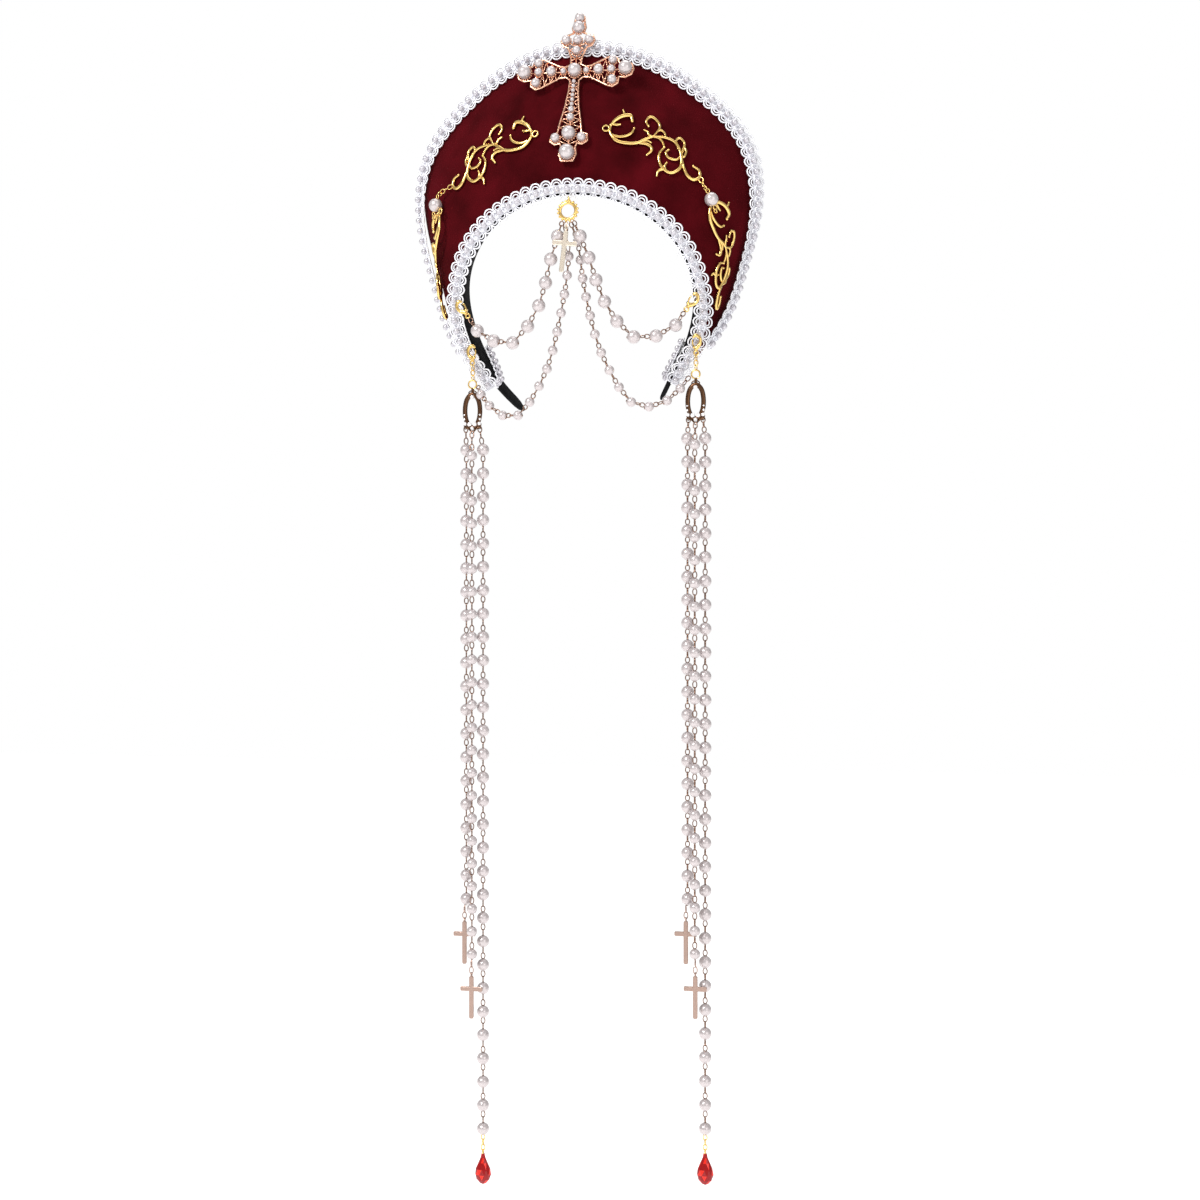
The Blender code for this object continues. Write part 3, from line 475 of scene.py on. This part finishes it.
# Headband: padded cloth with soft corners
def cloth_band():
    skin = Skin()
    left, right, steps = -146.0, 142.5, 150
    rings = []
    for k in range(steps + 1):
        angle = mix(left, right, k / steps)
        end = right if angle > 0 else -left
        a = abs(angle)
        p, along, back, out = hoop_frame(a)
        width = BAND_WIDTH - BAND_TAPER * past(a, BAND_TAPER_START) ** 2
        start = 2.6 + past(a, HOOP_CURL_START) * 0.12
        close = 1.0
        if a > end - 4:
            close = math.sqrt(max(0.04, 1 - ((a - end + 4) / 4.2) ** 2))
        ring = []
        for i in range(20):
            w = 2 * math.pi * i / 20
            cx, cy = math.cos(w), math.sin(w)
            o = 1.5 + 1.5 * math.copysign(abs(cx) ** 0.6, cx) * (0.4 + 0.6 * close)
            b = start + width / 2 + width / 2 * math.copysign(abs(cy) ** 0.35, cy) * close
            q = p + out * o + back * b
            ring.append(q if angle >= 0 else mirrored(q))
        rings.append(ring)
    skin.grid(rings)
    return skin.make("cloth_band", CLOTH, replaces="headband")


cloth_band()


# Braid: woven strip, a satin cord each side of the pearls, double loops along both edges
BRAID_STEPS = 600
BRAID_PITCH = 6.5
SEED_RADIUS = 2.05
# columns: a loop's width and reach beside the largest, its wire, its height
BRAID_LOOPS = [(1.0, 1.0, 0.5, 0.55), (0.62, 0.55, 0.4, 0.75)]


def braid(name, frame_at, end, node):
    def at(angle, x, h):
        p, across, face = frame_at(angle)
        q = p + across * x + face * h
        return q if angle >= 0 else mirrored(q)

    angles = [-end + 2 * end * k / BRAID_STEPS for k in range(BRAID_STEPS + 1)]
    length = [0.0]
    spine = [at(a, 0, 0.6) for a in angles]
    for p, q in zip(spine, spine[1:]):
        length.append(length[-1] + (q - p).length)

    def angle_at(s):
        """the angle at a length along the braid"""
        s = min(max(s, 0.0), length[-1])
        lo, hi = 0, BRAID_STEPS
        while hi - lo > 1:
            mid = (lo + hi) // 2
            if length[mid] <= s:
                lo = mid
            else:
                hi = mid
        t = (s - length[lo]) / max(length[hi] - length[lo], 1e-9)
        return mix(angles[lo], angles[hi], t)

    pearls = round(length[-1] / BRAID_PITCH)
    pitch = length[-1] / pearls
    strip = Skin()
    rings = []
    for k in range(pearls * 4 + 1):
        a = angle_at(k * pitch / 4)
        w = 2.7 + 0.35 * math.cos(math.pi * k / 2)
        section = [(-w, 0.1), (-w, 0.7), (-1.5, 1.25), (0, 0.9), (1.5, 1.25), (w, 0.7), (w, 0.1)]
        rings.append([at(a, x, h) for x, h in section])
    strip.grid(rings)
    strip.make(name + "_strip", BRAID, replaces=node)
    loops = Skin()
    beads = Skin()
    for k in range(pearls):
        mid = (k + 0.5) * pitch
        a = angle_at(mid)
        up = at(a, 0, 1) - at(a, 0, 0)
        beads.ball(at(a, 0, 2.35), SEED_RADIUS, 14, 8, up)
        for side in (-1, 1):
            for size, reach, wire, lift in BRAID_LOOPS:
                path = []
                for i in range(11):
                    w = math.pi * (0.02 + 0.96 * i / 10)
                    run = mid - math.cos(w) * pitch * 0.46 * size
                    x = 2.1 + math.sin(w) ** 0.75 * 3.7 * reach
                    height = lift + 0.25 * math.sin(w) + random.uniform(-0.1, 0.1)
                    path.append(at(angle_at(run), side * x, height))
                loops.tube(path, wire, 6, start=up)
        # a twist of satin cord between neighbouring pearls
        twist = []
        for i in range(10):
            w = 2 * math.pi * i / 10
            run = mid + pitch * (0.5 + 0.22 * math.cos(w))
            twist.append(at(angle_at(run), 1.9 * math.sin(w), 1.45))
        loops.tube(twist, 0.55, 6, loop=True, start=up)
    loops.make(name + "_loops", CORD)
    beads.make(name + "_pearls", SEED)


braid("outer_braid", outer_braid_frame, 110, "outer_trim")
braid("inner_braid", inner_braid_frame, 131, "inner_trim")


# The loose end of the inner braid turns over the band's edge and runs back up its inner face.
# columns: angle, out, back
TAIL = [(130.5, 0.5, 1.0), (131, -1.3, 4.5), (128, -1.4, 9.5), (122, -1.4, 13.5), (114, -1.4, 16.0)]


def braid_tail(name, side):
    path = smooth_path([hoop(side * a, out, back) for a, out, back in TAIL], 8)
    cords = Skin()
    beads = Skin()
    cords.tube(path, 1.0, 8)
    face = (hoop(side * 122, -1, 9) - hoop(side * 122, 0, 9)).normalized()
    for p in spread(path, 7, 1.0, 1.0):
        beads.ball(p + face * 1.6, SEED_RADIUS, 14, 8, face)
        for way in (-1, 1):
            cords.ring(p + HOOP_BACK * way * 2.6 + face * 0.5, face, HOOP_BACK, 1.9, 0.5, 16, 6)
    cords.make(name + "_cords", CORD)
    beads.make(name + "_pearls", SEED)


braid_tail("braid_tail_right", 1)
braid_tail("braid_tail_left", -1)


# Brooch: a wire-edged openwork cross with beaded cups under its pearls
def brooch():
    metal = Skin()
    pearls = Skin()
    edge = BROOCH_EDGE + [(-x, y) for x, y in reversed(BROOCH_EDGE)]
    metal.tube([on_brooch(x, y, 0.9) for x, y in edge], 0.62, 8, loop=True, start=BROOCH_FACE)

    def bar(points, r=0.42):
        for side in (1, -1):
            metal.tube([on_brooch(x * side, y, 0.9) for x, y in points], r, 6, start=BROOCH_FACE)
            if all(abs(x) < 0.01 for x, y in points):
                break

    def trellis(ends, count, r=0.36):
        """struts zigzagging between two lines: each line is its start and its end"""
        (ax, ay), (bx, by), (cx, cy), (dx, dy) = ends
        for k in range(count):
            t0, t1, tm = k / count, (k + 1) / count, (k + 0.5) / count
            a = (mix(ax, bx, t0), mix(ay, by, t0))
            b = (mix(ax, bx, t1), mix(ay, by, t1))
            m = (mix(cx, dx, tm), mix(cy, dy, tm))
            bar([a, m], r)
            bar([m, b], r)

    bar([(0, 34), (0, -50)], 0.55)
    bar([(2.5, 0), (31, 0)], 0.5)
    trellis([(0.6, -6), (0.6, -38), (2.6, -6), (6.9, -37.5)], 7)
    trellis([(5.0, 0.6), (24.0, 0.8), (5.6, 3.0), (24.4, 8.2)], 5)
    trellis([(5.0, -0.6), (24.0, -0.8), (5.6, -3.5), (24.4, -9.8)], 5)
    trellis([(0.6, 4.5), (0.6, 17.0), (3.2, 5.0), (5.4, 15.4)], 3)
    bar([(0, -38), (4, -41), (8, -42.4), (4, -44.5), (0, -46)], 0.45)
    bar([(23.4, 8.4), (24.6, 0), (24.2, -10)], 0.5)
    bar([(9.2, 22.6), (4.4, 18.0), (0, 16.0)], 0.45)
    slant = [(mix(7.0, 2.0, k / 8), mix(22.6, 26.6, k / 8)) for k in range(9)]
    for a, b in zip(slant, slant[1:]):
        bar([a, b], 0.4)
    # columns: x, y, radius
    table = [(0, 34.0, 2.9), (0, 27.6, 3.7), (0, 19.6, 2.8), (7.2, 19.8, 2.8), (0, 12.8, 2.7), (0, 0, 4.1),
             (7.2, 0, 1.8), (14.8, 0, 3.0), (23.3, 5.6, 2.6), (22.8, 0, 2.4), (23.8, -6.9, 2.8),
             (31.6, 0, 4.2),
             (0, -24.6, 1.9), (0, -29.6, 2.4), (0, -39.8, 4.2), (8.1, -42.4, 2.8), (0, -51.8, 4.7)]
    for x, y, r in table:
        for side in ([1, -1] if x > 0 else [1]):
            pearls.ball(on_brooch(x * side, y, 1.9 + 0.3 * r), r, 22, 14, BROOCH_FACE)
            count = max(9, round(r * 4.4))
            for k in range(count):
                w = 2 * math.pi * k / count
                u, v = x * side + math.cos(w) * (r + 0.05), y + math.sin(w) * (r + 0.05)
                metal.ball(on_brooch(u, v, 1.25), 0.62 if r > 2.2 else 0.5, 7, 5, BROOCH_FACE)
            metal.ring(on_brooch(x * side, y, 0.8), BROOCH_FACE, BROOCH_UP, r * 0.8, 0.45, 16, 6)
    for k in range(6):
        pearls.ball(on_brooch(0, -6.6 - 2.9 * k, 2.0), 1.3, 12, 8, BROOCH_FACE)
        for side in (1, -1):
            metal.ball(on_brooch(1.5 * side, -8.0 - 2.9 * k, 1.3), 0.5, 6, 5, BROOCH_FACE)
    metal.make("brooch_metal", ROSE, replaces="cross_brooch")
    pearls.make("brooch_pearls", PEARL)


brooch()


# Leaf scrolls: the same casting four times
SCROLL_EXTRA = {
    "spike": (0.65, [(212, 142), (222, 118), (218, 92)]),
    "tip": (0.7, [(140, 190), (165, 202), (188, 204)]),
    "inner_leaf": (0.6, [(300, 362), (352, 352), (382, 368)]),
    "sprig": (0.65, [(400, 320), (372, 308), (366, 285), (344, 268)]),
    "arch": (0.65, [(440, 280), (462, 270), (486, 290), (492, 322)]),
    "second": (0.65, [(400, 322), (440, 332), (466, 365), (475, 402)]),
    "ball": (0.7, [(634, 380), (644, 415), (628, 452), (606, 465)]),
    "twig": (0.75, [(470, 572), (440, 574), (416, 588), (404, 620)]),
    "stub": (0.65, [(486, 518), (468, 545), (478, 576)]),
}


def scroll(node, side, angle, across, turn, narrow, tip):
    def place(x, y, extra=0.0):
        q = on_panel(angle, across, x, y * narrow, 1.4 + extra + max(0.0, 12 - y) * tip, turn)
        return q if side > 0 else mirrored(q)

    skin = Skin()
    start = (place(0, 0, 1.0) - place(0, 0)).normalized()
    for key, (thick, points) in list(SCROLL.items()) + list(SCROLL_EXTRA.items()):
        path = smooth_path([place(*scroll_point(*p)) for p in points], 6)
        n = len(path)
        radii = []
        for i in range(n):
            t = min(i, n - 1 - i) / (n - 1) * 2
            radii.append(thick * (0.72 + 0.45 * min(1.0, 1.6 * t)))
        skin.tube(path, radii, 8, start=start)
        for tail in (path[0], path[-1]):
            if key not in ("stem", "second", "arch"):
                skin.ball(tail, thick * 0.95, 10, 6, start)
    ring_at = place(*scroll_point(97, 210))
    run = (place(*scroll_point(107, 210)) - ring_at).normalized()
    skin.ring(ring_at, start, run, 1.9, 0.55, 16, 8)
    skin.make(node.replace("filigree", "leaf_scroll"), GOLD, replaces=node)


for row in SCROLL_PLACES:
    scroll(*row)


# Strings of pearls: a wire loop on each side of a pearl, and each loop linked to the next
LOOP_WIRE = 0.36
LEAST_ROOM, ROOM_FOR_THREE = 0.6, 7.5


def wire_between(skin, a, b, radius_a, radius_b, turn):
    """eye loops on two pearls, or on a pearl and a fixed ring, with a jump ring between them"""
    run = (b - a).normalized()
    start = a + run * radius_a
    stop = b - run * radius_b
    room = (stop - start).length
    side = run.cross(FRONT)
    side = side.normalized() if side.length > 0.01 else RIGHT
    front = side.cross(run).normalized()
    if room < LEAST_ROOM:
        return
    count = 2 if room < ROOM_FOR_THREE else 3
    size = room / count
    for k in range(count):
        centre = start + run * (size * (k + 0.5))
        axis = front if (k + turn) % 2 == 0 else (front * 0.35 + side * 0.94).normalized()
        radius = min(size * 0.62, 1.55) * 0.82
        skin.ring(centre, axis, run, radius, LOOP_WIRE, tall=max(1.0, (size * 0.5 + 0.25) / radius))


def pearl_string(name, points, radius, top, end=None):
    pearls = Skin()
    wires = Skin()
    for k, p in enumerate(points):
        near = points[k + 1] if k + 1 < len(points) else points[k - 1]
        axis = (near - p).normalized()
        pearls.ball(p, radius * random.uniform(0.985, 1.0), 24, 16, axis)
        for way in (1, -1):
            pearls.slot = 1
            pearls.ball(p + axis * way * radius * 0.985, 0.75, 8, 5, axis, 0.5)
            pearls.slot = 0
    for k in range(len(points) - 1):
        wire_between(wires, points[k], points[k + 1], radius, radius, k % 2)
    wire_between(wires, top, points[0], 0.0, radius, 0)
    if end is not None:
        wire_between(wires, points[-1], end, radius, 0.0, 1)
    pearls.make(name + "_pearls", [PEARL, LINK], replaces=name)
    wires.make(name + "_wires", LINK)


# Drapes: pearl radius, pearls, wire above the first and below the last, then the route
# from the middle ring to the clasp or the oval, columns x, y, z
DRAPES = {
    "drape_large_left": (4.1, 8, 9, 11, [(-2.6, -3.4, -15.6), (-10, -2.5, -38), (-18, 0, -65),
                                         (-36, 5.5, -86), (-57, 12, -79), (-66.4, 16.9, -68)]),
    "drape_large_right": (4.1, 8, 10, 10, [(4.4, -3.4, -15.6), (13, -2.5, -36), (23, 1.5, -65),
                                           (40, 6.5, -85), (60, 12.5, -80), (68.2, 16.9, -68.8)]),
    "drape_small_left": (3.0, 13, 20, 8, [(-0.8, -3.4, -16.3), (0, 3, -36), (-5, 1.5, -72), (-15, 3, -106),
                                          (-35, 10, -130.5), (-55, 16, -121), (-63.2, 24.3, -109)]),
    "drape_small_right": (3.0, 13, 13, 10, [(2.6, -3.4, -16.3), (5.5, 4.5, -27), (10, 2, -56), (20, 3, -94),
                                            (38, 9.5, -124), (58, 16, -122), (70.3, 24.3, -106.8)]),
}


for name, (radius, count, lead, tail, route) in DRAPES.items():
    path = smooth_path([Vector(row) for row in route], 8)
    pearl_string(name, spread(path, count, lead, tail), radius, path[0], path[-1])


# Tassels: two strands side by side and a finer one in front of them
TASSEL_LEFT = -65.4
TASSEL_RIGHT = 74.3
HANG_Y = 25.0
FRONT_Y = HANG_Y - 6.2
# columns: node, x, y, height of the first pearl, pitch, pearls, pearl radius
STRANDS = [
    ("strand_left_outer", TASSEL_LEFT - 5.4, HANG_Y, -148.8, 14.75, 20, 3.9),
    ("strand_left_middle", TASSEL_LEFT, FRONT_Y, -152.8, 14.06, 23, 3.3),
    ("strand_left_inner", TASSEL_LEFT + 5.4, HANG_Y, -148.8, 14.59, 30, 3.9),
    ("strand_right_inner", TASSEL_RIGHT - 5.4, HANG_Y, -144.4, 13.98, 21, 3.9),
    ("strand_right_middle", TASSEL_RIGHT, FRONT_Y, -148.6, 13.97, 23, 3.3),
    ("strand_right_outer", TASSEL_RIGHT + 5.4, HANG_Y, -144.4, 14.43, 30, 3.9),
]
# the middles of the ovals that the strands hang from, by side: x, height
OVALS = {-1: (TASSEL_LEFT - 1.4, -124.4), 1: (TASSEL_RIGHT - 0.4, -122.0)}
for name, x, y, first, pitch, count, radius in STRANDS:
    middle, oval_z = OVALS[-1 if "left" in name else 1]
    if "middle" in name:
        top = Vector((middle, HANG_Y - 1.5, oval_z - 13.0))
    else:
        top = Vector((middle + math.copysign(4.4, x - middle), HANG_Y, oval_z - 9.6))
    points = [Vector((x, y, first - pitch * k)) for k in range(count)]
    pearl_string(name, points, radius, top)


# Lobster clasps: a claw of round wire that swells toward its hook, its eye, and a lever on its own body
# columns: name, x, y, z, lean in degrees, side of the lever
CLASPS = [
    ("upper_left", -71.4, 17.6, -61.6, 38.0, 1),
    ("upper_right", 73.0, 17.6, -62.4, -38.0, -1),
    ("lower_left", -67.6, HANG_Y + 0.8, -88.5, 4.0, 1),
    ("lower_right", 74.3, HANG_Y + 0.8, -86.5, -2.0, -1),
]
# columns: down, sideways
CLAW_PATH = [(4.4, 0.3), (3.2, 0.2), (2.2, -0.6), (0.6, -1.9), (-1.6, -2.3), (-3.6, -1.6), (-4.8, 0.2),
             (-4.4, 1.6), (-3.3, 2.3)]
CLAW_THICK = [1.2, 1.4, 1.35, 1.05, 1.0, 1.05, 1.15, 1.0, 0.7]
LEVER_PATH = [(3.0, 1.5), (2.0, 1.7), (0.8, 2.2), (-0.8, 2.55), (-2.2, 2.5)]
for name, x, y, z, lean, hand in CLASPS:
    w = math.radians(lean)
    down = Vector((math.sin(w), 0, -math.cos(w)))
    side = Vector((math.cos(w), 0, math.sin(w))) * hand
    at = Vector((x, y, z))

    def place(u, v, h=0.0):
        return at + down * u + side * v + FRONT * h

    claw = Skin()
    claw.tube(smooth_path([place(*p) for p in CLAW_PATH], 4),
              [mix(CLAW_THICK[k // 4], CLAW_THICK[min(k // 4 + 1, 8)], (k % 4) / 4) for k in range(33)], 10)
    claw.tube([place(2.4, 1.4, h) for h in (-1.1, 1.1)], 0.95, 12, start=down)
    claw.ring(place(5.9, 0), FRONT, down, 1.3, 0.5, 18, 8)
    claw.make("claw_" + name, GOLD, replaces="clasp_" + name)
    lever = Skin()
    lever.tube(smooth_path([place(*p) for p in LEVER_PATH], 4), [0.5] * 15 + [0.42, 0.34], 8)
    lever.make("catch_" + name, GOLD, body="lever_" + name, replaces="lever_" + name)


# Bronze ovals: a modelled rim with granules, clear stones and links
# columns: sideways, up
OVAL_RIM = [(0, 10.6), (2.4, 9.0), (4.0, 6.2), (4.75, 2.2), (4.75, -2.0), (4.0, -5.8), (2.4, -8.8),
            (0, -10.2)]
OVAL_CURL = [(1.6, 9.8), (2.4, 11.4), (1.0, 12.6), (0.3, 11.8)]
OVAL_FOOT = [(3.2, -7.4), (5.2, -8.0), (4.6, -10.2), (2.8, -10.8), (0.6, -12.8)]
HANGER_TOP = {-1: -96.0, 1: -94.2}
for side, (x, z) in OVALS.items():
    def place(u, v, h=0.0):
        return Vector((x + u, HANG_Y - h, z + v))

    rim = Skin()
    loop = OVAL_RIM + [(-u, v) for u, v in reversed(OVAL_RIM[1:-1])]
    path = smooth_path([place(*p) for p in loop + loop[:1]], 4)[:-1]
    rim.tube(path, 1.5, 10, loop=True)
    for p in path[::2]:
        rim.ball(p + (p - place(0, 0)).normalized() * 1.0, 0.48, 6, 5)
    rim.tube(smooth_path([place(0, 10.4), place(0.2, 12.2), place(0, 14.2)], 3), 0.9, 8)
    for s in (1, -1):
        rim.tube(smooth_path([place(u * s, v) for u, v in OVAL_CURL], 4), 0.4, 6)
        rim.tube(smooth_path([place(u * s, v) for u, v in OVAL_FOOT], 4), 0.6, 6)
        rim.ring(place(4.5 * s, -10.4), FRONT, UP, 0.9, 0.3, 12, 6)
    rim.ring(place(0, -13.2), FRONT, UP, 0.9, 0.3, 12, 6)
    name = "left" if side < 0 else "right"
    rim.make("bronze_rim_" + name, BRONZE, replaces="oval_frame_" + name)
    stones = Skin()
    for u, v, r in [(0, 8.6, 1.4), (-4.9, -2.6, 0.8), (4.9, -2.6, 0.8), (-4.9, -5.2, 0.8), (4.9, -5.2, 0.8),
                    (-1.7, -8.4, 1.5), (1.7, -8.4, 1.5), (0, -10.8, 1.2), (-4.6, -8.0, 1.2),
                    (4.6, -8.0, 1.2)]:
        stones.ball(place(u, v, 1.0), r, 10, 6, FRONT, 0.7)
    stones.make("oval_stones_" + name, STONE)
    links = Skin()
    links.ring(place(0, 16.6), FRONT, UP, 2.6, 0.5, 20, 8)
    low = z + 19.2
    size = (HANGER_TOP[side] - low) / 3
    slanted = (FRONT * 0.4 + RIGHT * 0.9).normalized()
    for k in range(3):
        centre = Vector((x + 0.2, HANG_Y, low + size * (k + 0.5)))
        links.ring(centre, FRONT if k % 2 else slanted, UP, 1.2, 0.38, tall=(size / 2 + 0.3) / 1.2)
    links.make("hanger_links_" + name, GOLD)


# Small crosses: two bars of bevelled section and unequal depth, an eye and its links
# columns: across and deep, as shares of a bar's half thickness
CROSS_SECTION = [(-1, -0.6), (-0.75, -1), (0.75, -1), (1, -0.6), (1, 0.6), (0.75, 1), (-0.75, 1),
                 (-1, 0.6)]


def round_cross(name, node, x, y, top, height, width, bar, high, mat, back=0.0, tilt=0.0):
    skin = Skin()
    c, s = math.cos(tilt), math.sin(tilt)

    def place(u, v, h=0.0):
        return Vector((x + u * c + v * s, y - h, top + v * c - u * s))

    cut = height * 0.3
    b = bar / 2
    for path in ([(0, 0), (0, -height)], [(-width / 2, -cut), (width / 2, -cut)]):
        (u0, v0), (u1, v1) = path
        du, dv, deep = (1, 0, 0.78) if u0 == u1 else (0, 1, 0.7)
        rings = []
        for t, f in ((0, 0.72), (0.03, 1.0), (0.97, 1.0), (1, 0.72)):
            u, v = mix(u0, u1, t), mix(v0, v1, t)
            rings.append([place(u + du * b * f * p, v + dv * b * f * p, deep * q) for p, q in CROSS_SECTION])
        skin.grid(rings)
    skin.ring(place(0, 1.0), RIGHT, UP, 1.2, 0.4, 14, 6)
    low = top + 1.6
    run = Vector((0, back, high - low))
    count = 2 if run.length < 9 else 3
    tall = (run.length / count / 2 + 0.25) / 1.2
    for k in range(count):
        centre = Vector((x, y, low)) + run * ((k + 0.5) / count)
        skin.ring(centre, RIGHT if k % 2 else FRONT, run.normalized(), 1.2, LOOP_WIRE, tall=tall)
    skin.make(name, mat, replaces=node, smooth=False)


for node, x, y, top, height, high in [
        ("cross_left_outer", TASSEL_LEFT - 6.6, HANG_Y, -443.1, 26.5, -433.4),
        ("cross_left_middle", TASSEL_LEFT - 0.3, FRONT_Y, -475.8, 26.2, -465.8),
        ("cross_right_inner", TASSEL_RIGHT - 6.4, HANG_Y, -437.5, 26.0, -428.3),
        ("cross_right_middle", TASSEL_RIGHT + 0.3, FRONT_Y, -469.3, 25.6, -459.6)]:
    round_cross("small_" + node, node, x, y, top, height, 14.0, 2.8, high, CHAMPAGNE)
round_cross("small_centre_cross", "centre_cross", 0.6, -6.9, -22.0, 24.5, 15.0, 2.8, -16.6, PALE, 2.6,
            math.radians(7))


# Middle ring: a knobbed ring on its bail
ring = Skin()
RING_AT = Vector((0.9, -3.4, -9.2))
ring.ring(RING_AT, FRONT, UP, 4.9, 1.0, 40, 12)
for k in range(16):
    w = 2 * math.pi * (k + 0.5) / 16
    ring.ball(RING_AT + Vector((math.sin(w), 0, math.cos(w))) * 6.0, 0.8, 10, 7, FRONT)
ring.ring(Vector((0.9, -1.5, -2.3)), RIGHT, UP, 1.5, 0.42, 16, 8, 1.3)
ring.make("knobbed_ring", GOLD, replaces="centre_ring")


# Pearls between the scrolls, with their links
# columns: node, side, angle, across, then where the upper scroll lies: angle, across, turn
LINK_PEARLS = [("filigree_pearl_right", 1, 52.3, 0.40, 27.4, 0.40, 0.0),
               ("filigree_pearl_left", -1, 52.3, 0.55, 27.8, 0.42, 0.08)]
for node, side, angle, across, scroll_angle, scroll_across, turn in LINK_PEARLS:
    centre = on_panel(angle, across, 0, 0, 5.0)
    run = (on_panel(angle, across, 3, 0, 5.0) - centre).normalized()
    face = (on_panel(angle, across, 0, 0, 6.0) - centre).normalized()
    tip = on_panel(scroll_angle, scroll_across, *scroll_point(758, 572), 1.8, turn)
    if side < 0:
        centre, run, face, tip = mirrored(centre), mirrored(run), mirrored(face), mirrored(tip)
    bead = Skin()
    bead.ball(centre, 4.2, 24, 16, run)
    bead.slot = 1
    for end in (1, -1):
        bead.ring(centre + run * end * 5.4, face, run, 1.3, 0.38, 14, 6)
        bead.ring(centre + run * end * 7.3 - face * 1.2, run.cross(face), run, 1.3, 0.38, 14, 6)
    wire_between(bead, tip, centre - run * 8.4 - face * 1.6, 0.6, 0.0, 0)
    bead.make("link_pearl_" + ("right" if side > 0 else "left"), [PEARL, GOLD], replaces=node)


# Red drops: pear-shaped faceted glass with a cap, some facets lighter as painted glints
DROP = [(0.0, 1.1), (2.6, 1.6), (5.6, 3.0), (9.4, 4.7), (12.8, 5.2), (16.0, 4.2), (18.2, 2.2), (19.0, 0.6)]
# columns: node, x, top, upper end of its links
DROPS = [
    ("drop_left", TASSEL_LEFT + 5.4, -587.4, -575.4),
    ("drop_right", TASSEL_RIGHT + 5.4, -577.8, -566.6),
]
for node, x, top, high in DROPS:
    glass = Skin()
    for k, (down, half) in enumerate(DROP):
        for i in range(10):
            w = 2 * math.pi * (i + 0.5 * (k % 2)) / 10
            u, v = math.cos(w) * half, math.sin(w) * half * 0.72
            glass.points.append(Vector((x + u, HANG_Y + v, top - down)) * MM)
    for k in range(len(DROP) - 1):
        for i in range(10):
            j = (i + 1) % 10
            a, b, c, d = k * 10 + i, k * 10 + j, k * 10 + 10 + i, k * 10 + 10 + j
            # some facets take the lighter glass: painted glints
            glass.slot = 1 if (i * 2 + k) % 3 == 0 else 0
            if k % 2 == 0:
                glass.face((a, c, b))
                glass.slot = 0
                glass.face((b, c, d))
            else:
                glass.face((a, d, b))
                glass.face((a, c, d))
    glass.face(tuple(range(10)))
    glass.face(tuple(reversed(range(len(DROP) * 10 - 10, len(DROP) * 10))))
    glass.make("ruby_" + node, [RUBY, RUBY_PAINTED_GLINT], replaces=node, smooth=False)
    cap = Skin()
    cap.ring(Vector((x, HANG_Y, top + 1.2)), RIGHT, UP, 1.4, 0.42, 14, 6)
    run = high - top - 2.2
    for k in range(3):
        centre = Vector((x, HANG_Y, top + 2.2 + run * (k + 0.5) / 3))
        cap.ring(centre, RIGHT if k % 2 else FRONT, UP, 1.2, 0.38, tall=(run / 6 + 0.3) / 1.2)
    cap.make("cap_" + node, GOLD)


# Floor, light and camera
floor_mat = shade("floor", (0.9, 0.9, 0.9), 0.9)
floor_mat.node_tree.nodes["Principled BSDF"].inputs["Emission Color"].default_value = (1.0, 1.0, 1.0, 1.0)
floor_mat.node_tree.nodes["Principled BSDF"].inputs["Emission Strength"].default_value = 0.62
bpy.ops.mesh.primitive_plane_add(size=8, location=(0, 0, -0.75))
floor = bpy.context.object
floor.name = "floor"
floor.data.materials.append(floor_mat)


# The camera looks level, turned a little round to the right side
CAMERA_TURN = math.radians(12)


def grey(tone):
    return tone, tone, tone, 1


def studio_world():
    """a pale room: white ahead of the camera, dimmer at its sides and behind it"""
    world = bpy.data.worlds.new("studio")
    bpy.context.scene.world = world
    world.use_nodes = True
    nodes, links = world.node_tree.nodes, world.node_tree.links
    where = nodes.new("ShaderNodeTexCoord")
    ahead = nodes.new("ShaderNodeVectorMath")
    ahead.operation = "DOT_PRODUCT"
    ahead.inputs[1].default_value = (-math.sin(CAMERA_TURN), math.cos(CAMERA_TURN), 0)
    level = nodes.new("ShaderNodeMapRange")
    level.inputs["From Min"].default_value = -1.0
    ramp = nodes.new("ShaderNodeValToRGB")
    tones = ramp.color_ramp.elements
    tones[0].color = grey(0.6)
    tones[1].position = 0.935
    for place, tone in ((0.5, 0.42), (0.88, 0.46)):
        tones.new(place).color = grey(tone)
    links.new(where.outputs["Generated"], ahead.inputs[0])
    links.new(ahead.outputs["Value"], level.inputs["Value"])
    links.new(level.outputs["Result"], ramp.inputs["Fac"])
    links.new(ramp.outputs["Color"], nodes["Background"].inputs["Color"])


studio_world()


def area(name, place, aim, size, power):
    data = bpy.data.lights.new(name, "AREA")
    data.size = size
    data.energy = power
    ob = bpy.data.objects.new(name, data)
    ob.location = place
    ob.rotation_euler = (Vector(aim) - Vector(place)).to_track_quat("-Z", "Y").to_euler()
    bpy.context.scene.collection.objects.link(ob)


area("key", (-0.7, -1.2, 0.9), (0, 0, -0.15), 0.5, 20)
area("fill", (1.2, -1.2, 0.1), (0, 0, -0.3), 1.0, 5)
area("top", (0.1, 0.2, 1.1), (0, 0, 0), 0.8, 5)

bpy.context.scene.view_settings.view_transform = "Standard"

# Camera, with the photograph's frame
camera_data = bpy.data.cameras.new("camera")
camera_data.lens = 50.0
camera_data.sensor_width = 36.0
camera = bpy.data.objects.new("camera", camera_data)
along = Vector((math.cos(CAMERA_TURN), math.sin(CAMERA_TURN), 0))
depth = Vector((-math.sin(CAMERA_TURN), math.cos(CAMERA_TURN), 0))
camera.location = (along * 19.43 - UP * 242.4 - depth * 1002.2) * MM
camera.rotation_euler = (math.radians(90), 0, CAMERA_TURN)
bpy.context.scene.collection.objects.link(camera)
bpy.context.scene.camera = camera
